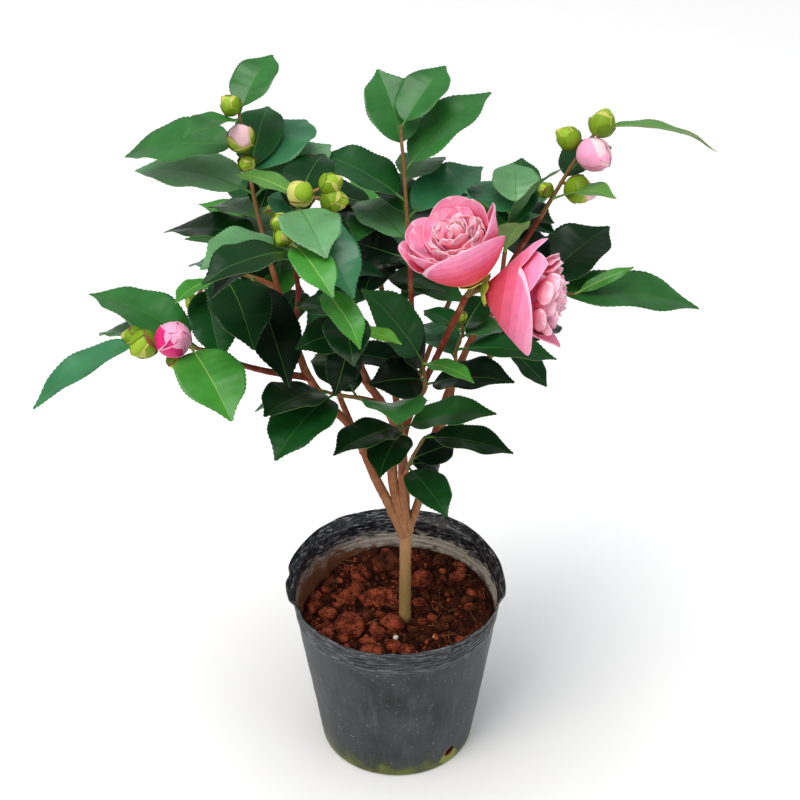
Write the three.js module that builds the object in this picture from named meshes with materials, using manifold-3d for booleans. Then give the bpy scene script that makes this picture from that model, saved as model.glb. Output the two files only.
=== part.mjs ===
// A young camellia shrub in its thin nursery pot: pot, potting mix, trunk, boughs and leafy sprays.
// Millimetres, +Z up. The origin is the centre of the pot's flat underside.
// A heading is an angle in the ground plane: 0 is +X, 90 is +Y. A rise is the angle above the level.
import * as THREE from "three";
import { mergeVertices } from "three/addons/utils/BufferGeometryUtils.js";
import Module from "manifold-3d";

const wasm = await Module();
wasm.setup();

// The gap kept between neighbouring solids.
const CLEARANCE = 0.3;

// The pot: blow-moulded, thin, tapering down to a rounded foot, with a flared lip that is torn away in front.
const POT_SEGMENTS = 32;
const POT_WALL = 1.6;
const POT_BASE_RADIUS = 65.4;
const POT_TAPER = 0.142;
const POT_FOOT_ROUNDING = 3;
const POT_SHOULDER_HEIGHT = 136;
const POT_HEIGHT = 164;
const POT_RIB_COUNT = 3;
const POT_RIB_DEPTH = 0.9;
const POT_LIP_REACH = 4.5;
const POT_LIP_HEIGHT = 7;
const POT_LIP_BEND = 14;
const POT_FRONT_DIP = 6;
const POT_BACK_RISE = 4;
const DRAIN_HOLES = 3;
const DRAIN_RADIUS = 4.6;
const DRAIN_HEIGHT = 15;
const DRAIN_FIRST_HEADING = -48;

// The potting mix: lumps of red brick grit over fine dark bark. It is level with no lumps round the trunk, and
// banked up against the wall behind and on the right.
const SOIL_TOP = 121;
const SOIL_LUMP = 4.5;
const SOIL_BANK = 13;
const SOIL_BANK_HEADING = 55;
const SOIL_RINGS = 5;
const SOIL_BARE_RADIUS = 16;

// Limbs.
const TRUNK_SIDES = 12;
const LIMB_SIDES = 7;
const LIMB_STEP = 20;
const TWIG_SIDES = 5;
const TWIG_ROOT_RADIUS = 1.7;
const TWIG_TIP_RADIUS = 1.1;
const TRUNK_FLARE = 1.4;
const TRUNK_FLARE_LENGTH = 0.1;

// Leaves: a stalk, then a blade that is folded along its rib and arches over to a drawn-out point.
const LEAF_THICKNESS = 1.5;
const LEAF_BREADTH = 0.46;
const LEAF_ARCH = 0.07;
const LEAF_FOLD = 0.18;
const LEAF_STALK_WIDTH = 2.4;
const LEAF_STATIONS = [0, 0.1, 0.36, 0.7, 1];
const LEAF_OUTLINE = [0, 0, 0.96, 0.86, 0.04];

// Buds: eggs that are longer than they are wide, narrowed towards the point, on a thin stalk.
const BUD_STRETCH = 1.15;
const BUD_POINT = 0.22;
const BUD_STALK_RADIUS = 1.2;

// The clearances that a leaf must have from other blades and from limbs, or else it is skipped.
const BLADE_CLEARANCE = 1.7;
const LIMB_CLEARANCE = 2.8;
const BALL_STEP = 5;

// The trunk's route from the ground to its fork, and its radius at both ends.
const TRUNK = { from: 4.9, to: 4.8, route: [[7, 0, SOIL_TOP], [7, 0, 152], [7, 0, 186], [8, 0, 222]] };

// Boughs in the order in which they branch: parent, radius at the root and at the tip, and route.
const BOUGHS = {
  left_bough: ["trunk", 4.2, 3, [[6, 0, 212], [-8, -3, 249], [-18, -8, 278], [-34, -20, 331], [-55, -30, 365],
    [-69, -38, 398]]],
  left_low_bough: ["left_bough", 2.6, 1.9, [[-66, -36, 390], [-94, -50, 404], [-117, -60, 418],
    [-139, -66, 433]]],
  left_high_bough: ["left_bough", 2.8, 1.9, [[-68, -37, 394], [-83, -25, 442], [-97, -8, 490]]],
  left_inner_bough: ["left_high_bough", 2, 1.7, [[-77, -31, 424], [-72, -34, 462], [-75, -38, 500]]],
  left_outer_bough: ["left_high_bough", 2, 1.7, [[-88, -19, 457], [-96, -18, 462], [-105, -18, 466]]],
  centre_bough: ["trunk", 4.6, 3, [[8, 0, 214], [-3, -6, 272], [-2, -20, 336], [-12, -36, 368],
    [-23, -50, 396]]],
  centre_front_bough: ["centre_bough", 2.6, 2, [[-20, -46, 388], [-28, -56, 420], [-34, -62, 446]]],
  centre_low_bough: ["centre_bough", 2.3, 1.8, [[-9, -31, 358], [-18, -40, 371], [-28, -46, 378]]],
  bloom_bough: ["trunk", 3.2, 2.2, [[9, 0, 216], [4, -8, 275], [7, -16, 327], [17, -28, 369], [30, -42, 412],
    [50, -60, 475]]],
  leader_bough: ["bloom_bough", 2.5, 1.8, [[15, -26, 362], [13, -10, 400], [10, 12, 465]]],
  front_bough: ["bloom_bough", 2, 1.7, [[16, -27, 366], [20, -33, 374], [22, -36, 381]]],
  low_front_bough: ["bloom_bough", 2, 1.7, [[5, -12, 303], [6, -19, 315], [6, -26, 326]]],
  right_bough: ["trunk", 3.6, 2.6, [[9, 0, 216], [18, 6, 242], [38, 25, 325], [66, 38, 395], [80, 42, 425]]],
  right_high_bough: ["right_bough", 2.4, 1.9, [[78, 41, 421], [90, 45, 445], [112, 48, 485]]],
  right_upper_bough: ["right_bough", 2, 1.7, [[76, 40, 416], [81, 36, 436], [83, 38, 455]]],
  right_outer_bough: ["right_bough", 2.3, 1.8, [[64, 37, 390], [80, 40, 404], [100, 40, 415]]],
  right_front_bough: ["right_bough", 2.3, 1.8, [[27, 14, 279], [40, 4, 330], [46, -14, 385]]],
  right_low_bough: ["right_bough", 2.2, 1.8, [[44, 28, 340], [53, 21, 354], [62, 15, 365]]],
  low_right_bough: ["bloom_bough", 2, 1.7, [[4, -8, 276], [7, -16, 286], [9, -22, 296]]],
  back_bough: ["trunk", 3.4, 2.2, [[8, 1, 214], [6, 20, 270], [-4, 46, 345], [-12, 62, 410]]],
  back_left_bough: ["left_bough", 2.6, 1.9, [[-26, -14, 304], [-48, 12, 350], [-72, 48, 410]]],
  back_right_bough: ["back_bough", 2.4, 1.9, [[3, 26, 288], [22, 52, 345], [48, 84, 400]]],
};

// The sprays: the bough that carries each, its stem's route from that bough's tip, its leaves and its buds.
// A leaf is [place along the stem 0-1, heading, rise, length, breadth / length, roll about its rib].
// A bud is [place along the stem, heading, rise, length of its stalk, radius].
// grown is [how many more leaves, heading in the middle of their fan, half-width of the fan].
const SPRAYS = {
  low_left_spray: {
    bough: "left_low_bough",
    stem: [[-160, -72, 443], [-182, -74, 449]],
    leaves: [
      [0.1, 155, 15, 95, 0.5], [0.95, -155, -20, 95, 0.3], [0.25, -64, -11, 80, 0.6], [0.8, 143, -15, 62, 0.4],
    ],
    buds: [[0.6, -60, 38, 12, 12.5], [0.9, -120, -5, 8, 10], [1, 170, 0, 8, 7], [0.55, -80, -70, 14, 5]],
    grown: [1, 90, 30],
  },
  top_left_spray: {
    bough: "left_high_bough",
    stem: [[-104, 5, 519], [-109, 14, 552], [-113, 17, 582]],
    leaves: [
      [1, 68, 22, 62, 0.52], [0.95, -131, 10, 56, 0.42], [0.74, 165, -10, 98, 0.5, -12],
      [0.38, 154, -2, 103, 0.48, -8], [0.5, 61, 11, 80, 0.66], [0.35, 50, 9, 86, 0.5], [0, 150, -10, 95, 0.44],
      [0.18, 128, -14, 68, 0.44],
    ],
    buds: [[1, 170, 45, 9, 7], [0.75, -120, 60, 10, 10], [0.62, -100, 10, 5, 6]],
    grown: [2, 100, 50],
  },
  inner_left_spray: {
    bough: "left_inner_bough",
    stem: [[-74, -38, 520], [-66, -34, 542]],
    leaves: [
      [0.95, 148, 5, 58, 0.34], [0.5, 94, 0, 50, 0.66], [0.8, -72, -2, 70, 0.6], [0.8, -58, -26, 84, 0.48],
      [0.1, -128, 15, 96, 0.46, -8], [0, -125, 3, 92, 0.32, 20],
    ],
    buds: [
      [1, 130, 15, 4, 9], [1, -5, -5, 22, 8.5], [1, 5, 25, 22, 7.5], [0.5, -130, 25, 14, 7],
      [0.45, -110, 0, 16, 7.5],
    ],
    grown: [1, 70, 50],
  },
  left_outer_spray: {
    bough: "left_outer_bough",
    stem: [[-121, -20, 472], [-142, -18, 460]],
    leaves: [
      [0.6, -72, -6, 92, 0.48], [1, -76, -24, 70, 0.48], [0.05, -69, -27, 96, 0.42, -8],
      [0.8, -118, 8, 50, 0.36], [0.3, 132, -15, 60, 0.5],
    ],
    buds: [[1, -138, -43, 16, 5.5]],
    grown: [2, 85, 20],
  },
  centre_front_spray: {
    bough: "centre_front_bough",
    stem: [[-44, -70, 472], [-58, -72, 500], [-72, -72, 525]],
    leaves: [
      [1, -63, -7, 66, 0.42], [0.55, -60, -18, 60, 0.4], [0.2, 142, -4, 43, 0.6], [0.25, -78, -6, 58, 0.56],
      [0, -34, 8, 46, 0.34], [0, -130, 14, 56, 0.5, -40], [0, -104, -34, 50, 0.5, -20],
    ],
    buds: [],
    grown: [1, -160, 40],
  },
  centre_low_spray: {
    bough: "centre_low_bough",
    stem: [[-45, -52, 385], [-60, -52, 390]],
    leaves: [[0.75, -128, 13, 72, 0.6], [0.6, -121, -8, 80, 0.58], [0.05, 123, 9, 60, 0.64], [1, 177, -25, 52]],
    buds: [],
    grown: [1, 120, 40],
  },
  low_front_spray: {
    bough: "low_front_bough",
    stem: [[3, -38, 350], [-5, -52, 376]],
    leaves: [
      [0.3, -3, 14, 74, 0.5], [1, -85, 25, 80, 0.6], [0.35, -139, 5, 68, 0.54], [0.2, -107, -1, 60, 0.54],
    ],
    buds: [],
    grown: [1, 100, 60],
  },
  low_right_spray: {
    bough: "low_right_bough",
    stem: [[14, -26, 312], [22, -26, 328]],
    leaves: [
      [1, -10, -6, 70, 0.5], [0.3, 34, -2, 42, 0.6, 40], [0, -61, -7, 62, 0.52], [0.1, 40, -26, 36, 0.6, 40],
    ],
    buds: [],
    grown: [1, 30, 60],
  },
  top_spray: {
    bough: "leader_bough",
    stem: [[8, 20, 496], [5, 28, 540], [3, 32, 566]],
    leaves: [
      [0.8, 111, 41, 68, 0.62], [0.97, 55, 27, 65, 0.55], [0.65, 34, 30, 90, 0.48], [0.43, 148, 14, 82, 0.56],
      [0.3, 42, 13, 80, 0.52], [0.12, 126, 7, 68, 0.66], [0, 140, -6, 64, 0.4, -40],
    ],
    buds: [],
    grown: [2, 90, 70],
  },
  front_spray: {
    bough: "front_bough",
    stem: [[21, -44, 398], [19, -50, 414]],
    leaves: [
      [0.1, -20, 15, 72, 0.62], [0.9, -42, 8, 50, 0.36], [0.5, 160, 55, 68, 0.6], [1, 176, 54, 74, 0.5, -35],
      [0.3, -140, 20, 56, 0.6, -40],
    ],
    buds: [],
    grown: [1, 160, 30],
  },
  upper_right_spray: {
    bough: "right_upper_bough",
    stem: [[86, 34, 480], [90, 32, 498]],
    leaves: [
      [1, 90, 15, 50, 0.7], [0.02, -76, 50, 66, 0.34], [0.3, -38, 60, 88, 0.24], [0.8, 123, 5, 60, 0.55],
      [0.3, -20, 48, 36, 0.5],
    ],
    buds: [],
    grown: [2, 90, 70],
  },
  top_right_spray: {
    bough: "right_high_bough",
    stem: [[134, 50, 528], [144, 50, 545], [152, 50, 556]],
    leaves: [[1, 4, -12, 92, 0.3, -14], [0.15, -44, 23, 65, 0.4]],
    buds: [
      [0.75, 155, 20, 14, 8.5], [1, 60, 40, 3, 9.5], [0.75, -53, -10, 12, 12], [0.35, -12, -20, 15, 10.5],
      [0.2, 170, 30, 8, 5.5],
    ],
    grown: [1, 90, 50],
  },
  right_outer_spray: {
    bough: "right_outer_bough",
    stem: [[118, 36, 420], [140, 32, 422]],
    leaves: [[0.1, 41, 20, 92, 0.62], [0.4, 5, -8, 125, 0.38, 8], [0.95, 10, 24, 50, 0.2, 30]],
    buds: [],
    grown: [3, 105, 35],
  },
  right_front_spray: {
    bough: "right_front_bough",
    stem: [[45, -20, 402], [50, -18, 418]],
    leaves: [[0.6, -7, -2, 76, 0.4], [0.9, 36, -7, 50], [1, 130, 0, 45], [1, 66, 12, 44, 0.5, 20]],
    buds: [[1, -100, 60, 26, 4]],
    grown: [1, 100, 60],
  },
  right_low_spray: {
    bough: "right_low_bough",
    stem: [[76, 20, 374], [92, 22, 384]],
    leaves: [[0.8, -31, -33, 44, 0.6]],
    buds: [],
    grown: [3, 60, 40],
  },
  back_spray: {
    bough: "back_bough",
    stem: [[-10, 74, 440], [-14, 82, 476]],
    leaves: [],
    buds: [],
    grown: [10, 90, 170],
  },
  back_left_spray: {
    bough: "back_left_bough",
    stem: [[-86, 62, 432], [-96, 72, 460]],
    leaves: [],
    buds: [[1, 90, 40, 8, 9], [1, 10, 40, 10, 8]],
    grown: [9, 110, 160],
  },
  back_right_spray: {
    bough: "back_right_bough",
    stem: [[60, 98, 425], [72, 106, 452]],
    leaves: [],
    buds: [[1, 60, 50, 8, 10]],
    grown: [9, 70, 160],
  },
};

// How a grown leaf's rise and length vary, and how many tries each spray has for one that fits.
const GROWN_TRIES = 6;
const GROWN_RISE = [-20, 20];
const GROWN_LENGTH = [65, 88];

// The two open flowers at the tip of the bloom bough: heading and rise of the axis, stalk and petal sizes.
const BLOOMS = [
  { calyx: [48, -58, 486], heading: 180, rise: 68, size: 42 },
  { calyx: [62, -56, 479], heading: -8, rise: -6, size: 45 },
];
// Lengths of the petals and of the dome of crumpled inner petals are shares of the flower's size.
const PETAL_COUNT = 6;
const PETAL_OPENING = 56;
const PETAL_LENGTH = 1.18;
const PETAL_WIDTH = 0.72;
const PETAL_THICKNESS = 1.6;
const PETAL_CUP = 0.14;
const PETAL_STATIONS = [0, 0.4, 0.8, 1];
const PETAL_OUTLINE = [0.2, 0.8, 1, 0.5];
const FLOWER_DOME_REACH = 0.78;
const FLOWER_DOME_RADIUS = 0.56;
const FLOWER_STALK_RADIUS = 2;
const FLOWER_CALYX_RADIUS = 7;
// The ball that stands for a flower in the clearance test.
const FLOWER_BALL_MIDDLE = 0.6;
const FLOWER_BALL_REACH = 0.85;

const MATERIALS = {
  pot: { color: "#363d43", roughness: 0.5 },
  soil: { color: "#5b3324", roughness: 0.95 },
  trunk: { color: "#a98d69", roughness: 0.8 },
  bough: { color: "#865844", roughness: 0.7 },
  foliage: { color: "#2f6b3a", roughness: 0.4 },
  bloom: { color: "#ee7fa1", roughness: 0.6 },
};

const radians = THREE.MathUtils.degToRad;
const smoothstep = THREE.MathUtils.smoothstep;
const UP = new THREE.Vector3(0, 0, 1);

// The unit vector at a heading and a rise, in degrees.
function direction(heading, rise) {
  return new THREE.Vector3(
    Math.cos(radians(heading)) * Math.cos(radians(rise)),
    Math.sin(radians(heading)) * Math.cos(radians(rise)),
    Math.sin(radians(rise)),
  );
}

// A repeatable number from 0 to 1 for a whole-number seed.
function chance(seed) {
  const wave = Math.sin(seed * 12.9898 + 4.1) * 43758.5453;
  return wave - Math.floor(wave);
}

// A closed geometry as a manifold-3d solid.
function solidOf(geometry) {
  geometry.deleteAttribute("normal");
  geometry.deleteAttribute("uv");
  const merged = mergeVertices(geometry, 1e-4);
  const triVerts = new Uint32Array(merged.index.array);
  return new wasm.Manifold(
    new wasm.Mesh({ numProp: 3, vertProperties: merged.attributes.position.array, triVerts }),
  );
}

// The solid's largest body: scraps and sealed hollows are left behind.
function whole(solid) {
  return solid.decompose().sort((a, b) => b.volume() - a.volume())[0];
}

function geometryOf(solid) {
  const mesh = solid.getMesh();
  const geometry = new THREE.BufferGeometry();
  geometry.setAttribute("position", new THREE.BufferAttribute(mesh.vertProperties, 3));
  geometry.setIndex(new THREE.BufferAttribute(mesh.triVerts, 1));
  return geometry.toNonIndexed();
}

// Moves every vertex of a geometry to place(x, y, z).
function reshape(geometry, place) {
  const position = geometry.attributes.position;
  for (let i = 0; i < position.count; i++) {
    const moved = place(position.getX(i), position.getY(i), position.getZ(i));
    position.setXYZ(i, moved.x, moved.y, moved.z);
  }
  return geometry;
}

function routeCurve(points) {
  return new THREE.CatmullRomCurve3(points.map((p) => new THREE.Vector3(...p)));
}

// A round limb along a curve, with radius(t) from its root to its tip and flat ends.
function limb(curve, radius, sides) {
  const steps = curve.isLineCurve3 ? 1 : Math.max(2, Math.round(curve.getLength() / LIMB_STEP));
  const frames = curve.computeFrenetFrames(steps);
  return reshape(new THREE.CylinderGeometry(1, 1, 1, sides, steps), (x, y, z) => {
    const step = Math.round((y + 0.5) * steps);
    return curve
      .getPointAt(step / steps)
      .addScaledVector(frames.normals[step], x * radius(step / steps))
      .addScaledVector(frames.binormals[step], -z * radius(step / steps));
  });
}

// A blade from a point: stations along its rib, half widths there, and its rib, side and face directions.
function bladePoint(blade, t, across, lift) {
  const arch = 4 * blade.arch * blade.length * t * (1 - t);
  const half = blade.halfWidth(t);
  return blade.root
    .clone()
    .addScaledVector(blade.rib, blade.length * t)
    .addScaledVector(blade.side, half * across)
    .addScaledVector(blade.face, arch + blade.fold * half * Math.abs(across) + lift);
}

// The directions of a blade that runs along rib, with its face turned up and then rolled.
function bladeFrame(rib, roll, up) {
  const side = new THREE.Vector3().crossVectors(rib, up).normalize().applyAxisAngle(rib, radians(roll));
  const face = new THREE.Vector3().crossVectors(side, rib);
  return { rib, side, face };
}

function leafBlade(root, [, heading, rise, length, breadth = LEAF_BREADTH, roll = 0]) {
  const halfWidth = (t) => {
    const station = LEAF_STATIONS.indexOf(t);
    return Math.max(LEAF_STALK_WIDTH, LEAF_OUTLINE[station] * breadth * length) / 2;
  };
  const frame = bladeFrame(direction(heading, rise), roll, UP);
  return { root, length, halfWidth, arch: LEAF_ARCH, fold: LEAF_FOLD, ...frame };
}

// The solid of a blade: a four-sided bar flattened onto the blade's surface, thickest at the rib.
function bladeSolid(blade, stations, thickness) {
  const panels = stations.length - 1;
  const bar = new THREE.CylinderGeometry(1, 1, 1, 4, panels);
  reshape(bar, (x, y, z) => {
    const station = stations[Math.round((y + 0.5) * panels)];
    return bladePoint(blade, station, x, (z * thickness) / 2);
  });
  return solidOf(bar);
}

// A triangle with the box round it.
function boxedTriangle(a, b, c) {
  return { a, b, c, box: new THREE.Box3().setFromPoints([a, b, c]) };
}

// The blade past its stalk as triangles, for the clearance test.
function bladeTriangles(blade, lift) {
  const triangles = [];
  for (let i = 1; i + 1 < LEAF_STATIONS.length; i++) {
    for (const across of [-1, 0]) {
      const [a, b] = [across, across + 1].map((s) => bladePoint(blade, LEAF_STATIONS[i], s, lift));
      const [c, d] = [across, across + 1].map((s) => bladePoint(blade, LEAF_STATIONS[i + 1], s, lift));
      triangles.push(boxedTriangle(a, b, d), boxedTriangle(a, d, c));
    }
  }
  return triangles;
}

const ray = new THREE.Ray();
const hit = new THREE.Vector3();
function edgeCuts(from, to, triangle) {
  const reach = from.distanceTo(to);
  ray.origin.copy(from);
  ray.direction.subVectors(to, from).divideScalar(reach);
  const met = ray.intersectTriangle(triangle.a, triangle.b, triangle.c, false, hit);
  return met !== null && hit.distanceTo(from) < reach;
}

function trianglesCross(first, second) {
  return first.some((p) =>
    second.some(
      (q) =>
        p.box.intersectsBox(q.box) &&
        (edgeCuts(p.a, p.b, q) || edgeCuts(p.b, p.c, q) || edgeCuts(p.c, p.a, q) ||
          edgeCuts(q.a, q.b, p) || edgeCuts(q.b, q.c, p) || edgeCuts(q.c, q.a, p)),
    ),
  );
}

// Balls strung along a curve that stand for its limb in the clearance test.
function limbBalls(curve, radius, owner) {
  const count = Math.ceil(curve.getLength() / BALL_STEP);
  return Array.from({ length: count + 1 }, (_, i) => ({
    centre: curve.getPointAt(i / count),
    reach: radius(i / count) + LIMB_CLEARANCE,
    owner,
  }));
}

// Whether a ball comes nearer to a boxed triangle than its reach.
const flat = new THREE.Triangle();
const nearest = new THREE.Vector3();
function ballMeets(ball, { a, b, c, box }) {
  if (box.distanceToPoint(ball.centre) > ball.reach) return false;
  return flat.set(a, b, c).closestPointToPoint(ball.centre, nearest).distanceTo(ball.centre) < ball.reach;
}

// Whether a leaf keeps clear of all limbs but its own stem and bough, and of the blades placed before it.
function leafFits(blade, owners, balls, placed) {
  const layers = [0, -BLADE_CLEARANCE, BLADE_CLEARANCE].map((lift) => bladeTriangles(blade, lift));
  const meetsBall = (ball) => layers[0].some((triangle) => ballMeets(ball, triangle));
  return (
    !balls.some((ball) => !owners.includes(ball.owner) && meetsBall(ball)) &&
    !placed.some((other) => layers.some((layer) => trianglesCross(layer, other)))
  );
}

// The radius of the pot's outside at a height.
function potSide(height) {
  return POT_BASE_RADIUS + POT_TAPER * height;
}

// The rounded foot of the pot, shrunk inwards by inset, from its flat bottom up to where the side starts.
function footProfile(inset) {
  return [0, 0.5, 1].map((turn) => {
    const radius = potSide(POT_FOOT_ROUNDING) - POT_FOOT_ROUNDING * (1 - Math.sin((turn * Math.PI) / 2));
    return [radius - inset, Math.max(inset, POT_FOOT_ROUNDING * (1 - Math.cos((turn * Math.PI) / 2)))];
  });
}

function potProfile() {
  const ribs = [];
  const ribRange = POT_HEIGHT - POT_LIP_HEIGHT - POT_SHOULDER_HEIGHT;
  for (let i = 0; i <= 2 * POT_RIB_COUNT; i++) {
    const height = POT_SHOULDER_HEIGHT + (ribRange * i) / (2 * POT_RIB_COUNT);
    ribs.push([potSide(height) + (i % 2) * POT_RIB_DEPTH, height]);
  }
  const lip = [
    [potSide(POT_HEIGHT) + POT_LIP_REACH * 0.6, POT_HEIGHT - POT_LIP_HEIGHT / 2],
    [potSide(POT_HEIGHT) + POT_LIP_REACH, POT_HEIGHT],
  ];
  const outside = [...footProfile(0), ...ribs, ...lip];
  const upperInside = [...ribs, ...lip].map(([radius, height]) => [radius - POT_WALL, height]);
  const inside = [...footProfile(POT_WALL), ...upperInside];
  return [[0, 0], ...outside, ...inside.reverse(), [0, POT_WALL]];
}

// The lip is flared round the back and drawn in and dipped across the front.
function frontness(x, y) {
  const heading = Math.atan2(y, x);
  return smoothstep(-Math.sin(heading), 0.2, 0.5);
}

function potSolid() {
  const lathe = new THREE.LatheGeometry(potProfile().map(([r, h]) => new THREE.Vector2(r, h)), POT_SEGMENTS);
  lathe.rotateX(Math.PI / 2);
  reshape(lathe, (x, y, z) => {
    const radius = Math.hypot(x, y);
    const lipShare = smoothstep(z, POT_HEIGHT - POT_LIP_BEND, POT_HEIGHT);
    const front = frontness(x, y);
    const drop = POT_FRONT_DIP * front - POT_BACK_RISE * Math.max(0, y / Math.max(radius, 1));
    const squeeze = radius > 1 ? 1 - (POT_LIP_REACH * front * lipShare) / radius : 1;
    return new THREE.Vector3(x * squeeze, y * squeeze, z - drop * lipShare);
  });
  let pot = solidOf(lathe);
  for (let i = 0; i < DRAIN_HOLES; i++) {
    const heading = radians(DRAIN_FIRST_HEADING + (360 * i) / DRAIN_HOLES);
    const hole = new THREE.CylinderGeometry(DRAIN_RADIUS, DRAIN_RADIUS, 12, 10);
    hole.rotateZ(Math.PI / 2).rotateZ(heading);
    hole.translate(POT_BASE_RADIUS * Math.cos(heading), POT_BASE_RADIUS * Math.sin(heading), DRAIN_HEIGHT);
    pot = pot.subtract(solidOf(hole));
  }
  return pot;
}

function soilSolid() {
  const inset = POT_WALL + CLEARANCE;
  const rim = potSide(SOIL_TOP) - inset;
  const profile = [[0, inset], ...footProfile(inset).map(([radius, height]) => [radius, height + CLEARANCE])];
  profile[1][1] = inset;
  for (let ring = SOIL_RINGS; ring >= 0; ring--) profile.push([(rim * ring) / SOIL_RINGS, SOIL_TOP]);
  const lathe = new THREE.LatheGeometry(profile.map(([r, h]) => new THREE.Vector2(r, h)), POT_SEGMENTS);
  lathe.rotateX(Math.PI / 2);
  const bankHeading = radians(SOIL_BANK_HEADING);
  reshape(lathe, (x, y, z) => {
    const radius = Math.hypot(x, y);
    const lumpy = z > SOIL_TOP - 1 && radius < rim - 1;
    const share = lumpy ? smoothstep(radius, SOIL_BARE_RADIUS, 2 * SOIL_BARE_RADIUS) : 0;
    const wave = Math.sin(x * 0.13 + 1) * Math.cos(y * 0.17) + Math.sin(x * 0.29 - y * 0.23);
    const towardsBank = x * Math.cos(bankHeading) + y * Math.sin(bankHeading);
    const bank = SOIL_BANK * smoothstep(radius, 30, rim) * smoothstep(towardsBank, -30, 60);
    return new THREE.Vector3(x, y, z + (z > SOIL_TOP - 1 ? bank : 0) + (SOIL_LUMP * share * wave) / 2);
  });
  return solidOf(lathe);
}

// The trunk, or a copy of it that is fatter by grow for cutting its neighbours clear.
function trunkSolid(grow) {
  const curve = routeCurve(TRUNK.route);
  const ground = SOIL_TOP + CLEARANCE;
  const radius = (t) =>
    THREE.MathUtils.lerp(TRUNK.from, TRUNK.to, t) + TRUNK_FLARE * Math.exp(-t / TRUNK_FLARE_LENGTH) + grow;
  const flatFooted = (x, y, z) => new THREE.Vector3(x, y, z < SOIL_TOP + 1 ? ground : z + grow);
  return solidOf(reshape(limb(curve, radius, TRUNK_SIDES), flatFooted));
}

// A bough, or a copy that is fatter and longer by grow for cutting its neighbours clear.
function boughSolid([, from, to, route], grow) {
  const points = route.map((p) => new THREE.Vector3(...p));
  const tip = points.at(-1);
  const end = tip.clone().sub(points.at(-2)).normalize();
  tip.addScaledVector(end, grow);
  const radius = (t) => THREE.MathUtils.lerp(from, to, t) + grow;
  return solidOf(limb(new THREE.CatmullRomCurve3(points), radius, LIMB_SIDES));
}

const twigRadius = (t) => THREE.MathUtils.lerp(TWIG_ROOT_RADIUS, TWIG_TIP_RADIUS, t);

function stemCurve(spray) {
  const boughTip = BOUGHS[spray.bough][3].at(-1);
  return routeCurve([boughTip, ...spray.stem]);
}

// The middle of a bud at the end of its stalk.
function budCentre(curve, [at, heading, rise, stalk]) {
  return curve.getPointAt(at).addScaledVector(direction(heading, rise), stalk);
}

// A bud: a pointed egg on a short stalk.
function budSolid(curve, bud) {
  const [at, heading, rise, , radius] = bud;
  const centre = budCentre(curve, bud);
  const along = direction(heading, rise);
  const turn = new THREE.Quaternion().setFromUnitVectors(new THREE.Vector3(0, 1, 0), along);
  const egg = reshape(new THREE.SphereGeometry(radius, 7, 5), (x, y, z) => {
    const taper = 1 - BUD_POINT * Math.max(0, y / radius);
    return new THREE.Vector3(x * taper, y * BUD_STRETCH, z * taper).applyQuaternion(turn).add(centre);
  });
  const stalkCurve = new THREE.LineCurve3(curve.getPointAt(at), centre);
  return solidOf(egg).add(solidOf(limb(stalkCurve, () => BUD_STALK_RADIUS, TWIG_SIDES)));
}

// A flower: a stalk from the bough's tip, a round of cupped petals and a full, domed middle.
function flowerSolid({ calyx, heading, rise, size }, boughTip) {
  const base = new THREE.Vector3(...calyx);
  const axis = direction(heading, rise);
  const across = new THREE.Vector3().crossVectors(UP, axis).normalize();
  const onAxis = (reach) => base.clone().addScaledVector(axis, reach * size);
  const dome = new THREE.SphereGeometry(FLOWER_DOME_RADIUS * size, 9, 6);
  dome.translate(...onAxis(FLOWER_DOME_REACH).toArray());
  const stalk = new THREE.CatmullRomCurve3([new THREE.Vector3(...boughTip), base, onAxis(0.4)]);
  const stalkRadius = (t) => THREE.MathUtils.lerp(FLOWER_STALK_RADIUS, FLOWER_CALYX_RADIUS, t);
  let flower = solidOf(limb(stalk, stalkRadius, TWIG_SIDES)).add(solidOf(dome));
  for (let i = 0; i < PETAL_COUNT; i++) {
    const outward = across.clone().applyAxisAngle(axis, radians((360 * i) / PETAL_COUNT));
    const rib = axis.clone().multiplyScalar(Math.cos(radians(PETAL_OPENING)));
    rib.addScaledVector(outward, Math.sin(radians(PETAL_OPENING)));
    const halfWidth = (t) => 0.5 * PETAL_WIDTH * size * PETAL_OUTLINE[PETAL_STATIONS.indexOf(t)];
    const shape = { length: PETAL_LENGTH * size, halfWidth, arch: -PETAL_CUP, fold: PETAL_CUP };
    flower = flower.add(
      bladeSolid({ root: base, ...shape, ...bladeFrame(rib, 0, axis) }, PETAL_STATIONS, PETAL_THICKNESS),
    );
  }
  return flower;
}

const root = new THREE.Group();

// Adds a solid as a named mesh under the mesh that it grows from.
function addNode(name, solid, look, parent) {
  const mesh = new THREE.Mesh(geometryOf(whole(solid)), new THREE.MeshStandardMaterial(MATERIALS[look]));
  mesh.name = name;
  parent.add(mesh);
  return mesh;
}

addNode("pot", potSolid(), "pot", root);
addNode("soil", soilSolid(), "soil", root);
const limbMeshes = { trunk: addNode("trunk", trunkSolid(0), "trunk", root) };

// Every limb that a bough could meet near its root is cut out of it, 0.3 mm fatter.
const limbCutters = { trunk: trunkSolid(CLEARANCE) };
const balls = limbBalls(routeCurve(TRUNK.route), () => TRUNK.from, "trunk");
for (const [name, bough] of Object.entries(BOUGHS)) {
  let solid = boughSolid(bough, 0);
  for (const cutter of Object.values(limbCutters)) solid = solid.subtract(cutter);
  limbMeshes[name] = addNode(name, solid, "bough", limbMeshes[bough[0]]);
  limbCutters[name] = boughSolid(bough, CLEARANCE);
  balls.push(...limbBalls(routeCurve(bough[3]), (t) => THREE.MathUtils.lerp(bough[1], bough[2], t), name));
}

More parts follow.
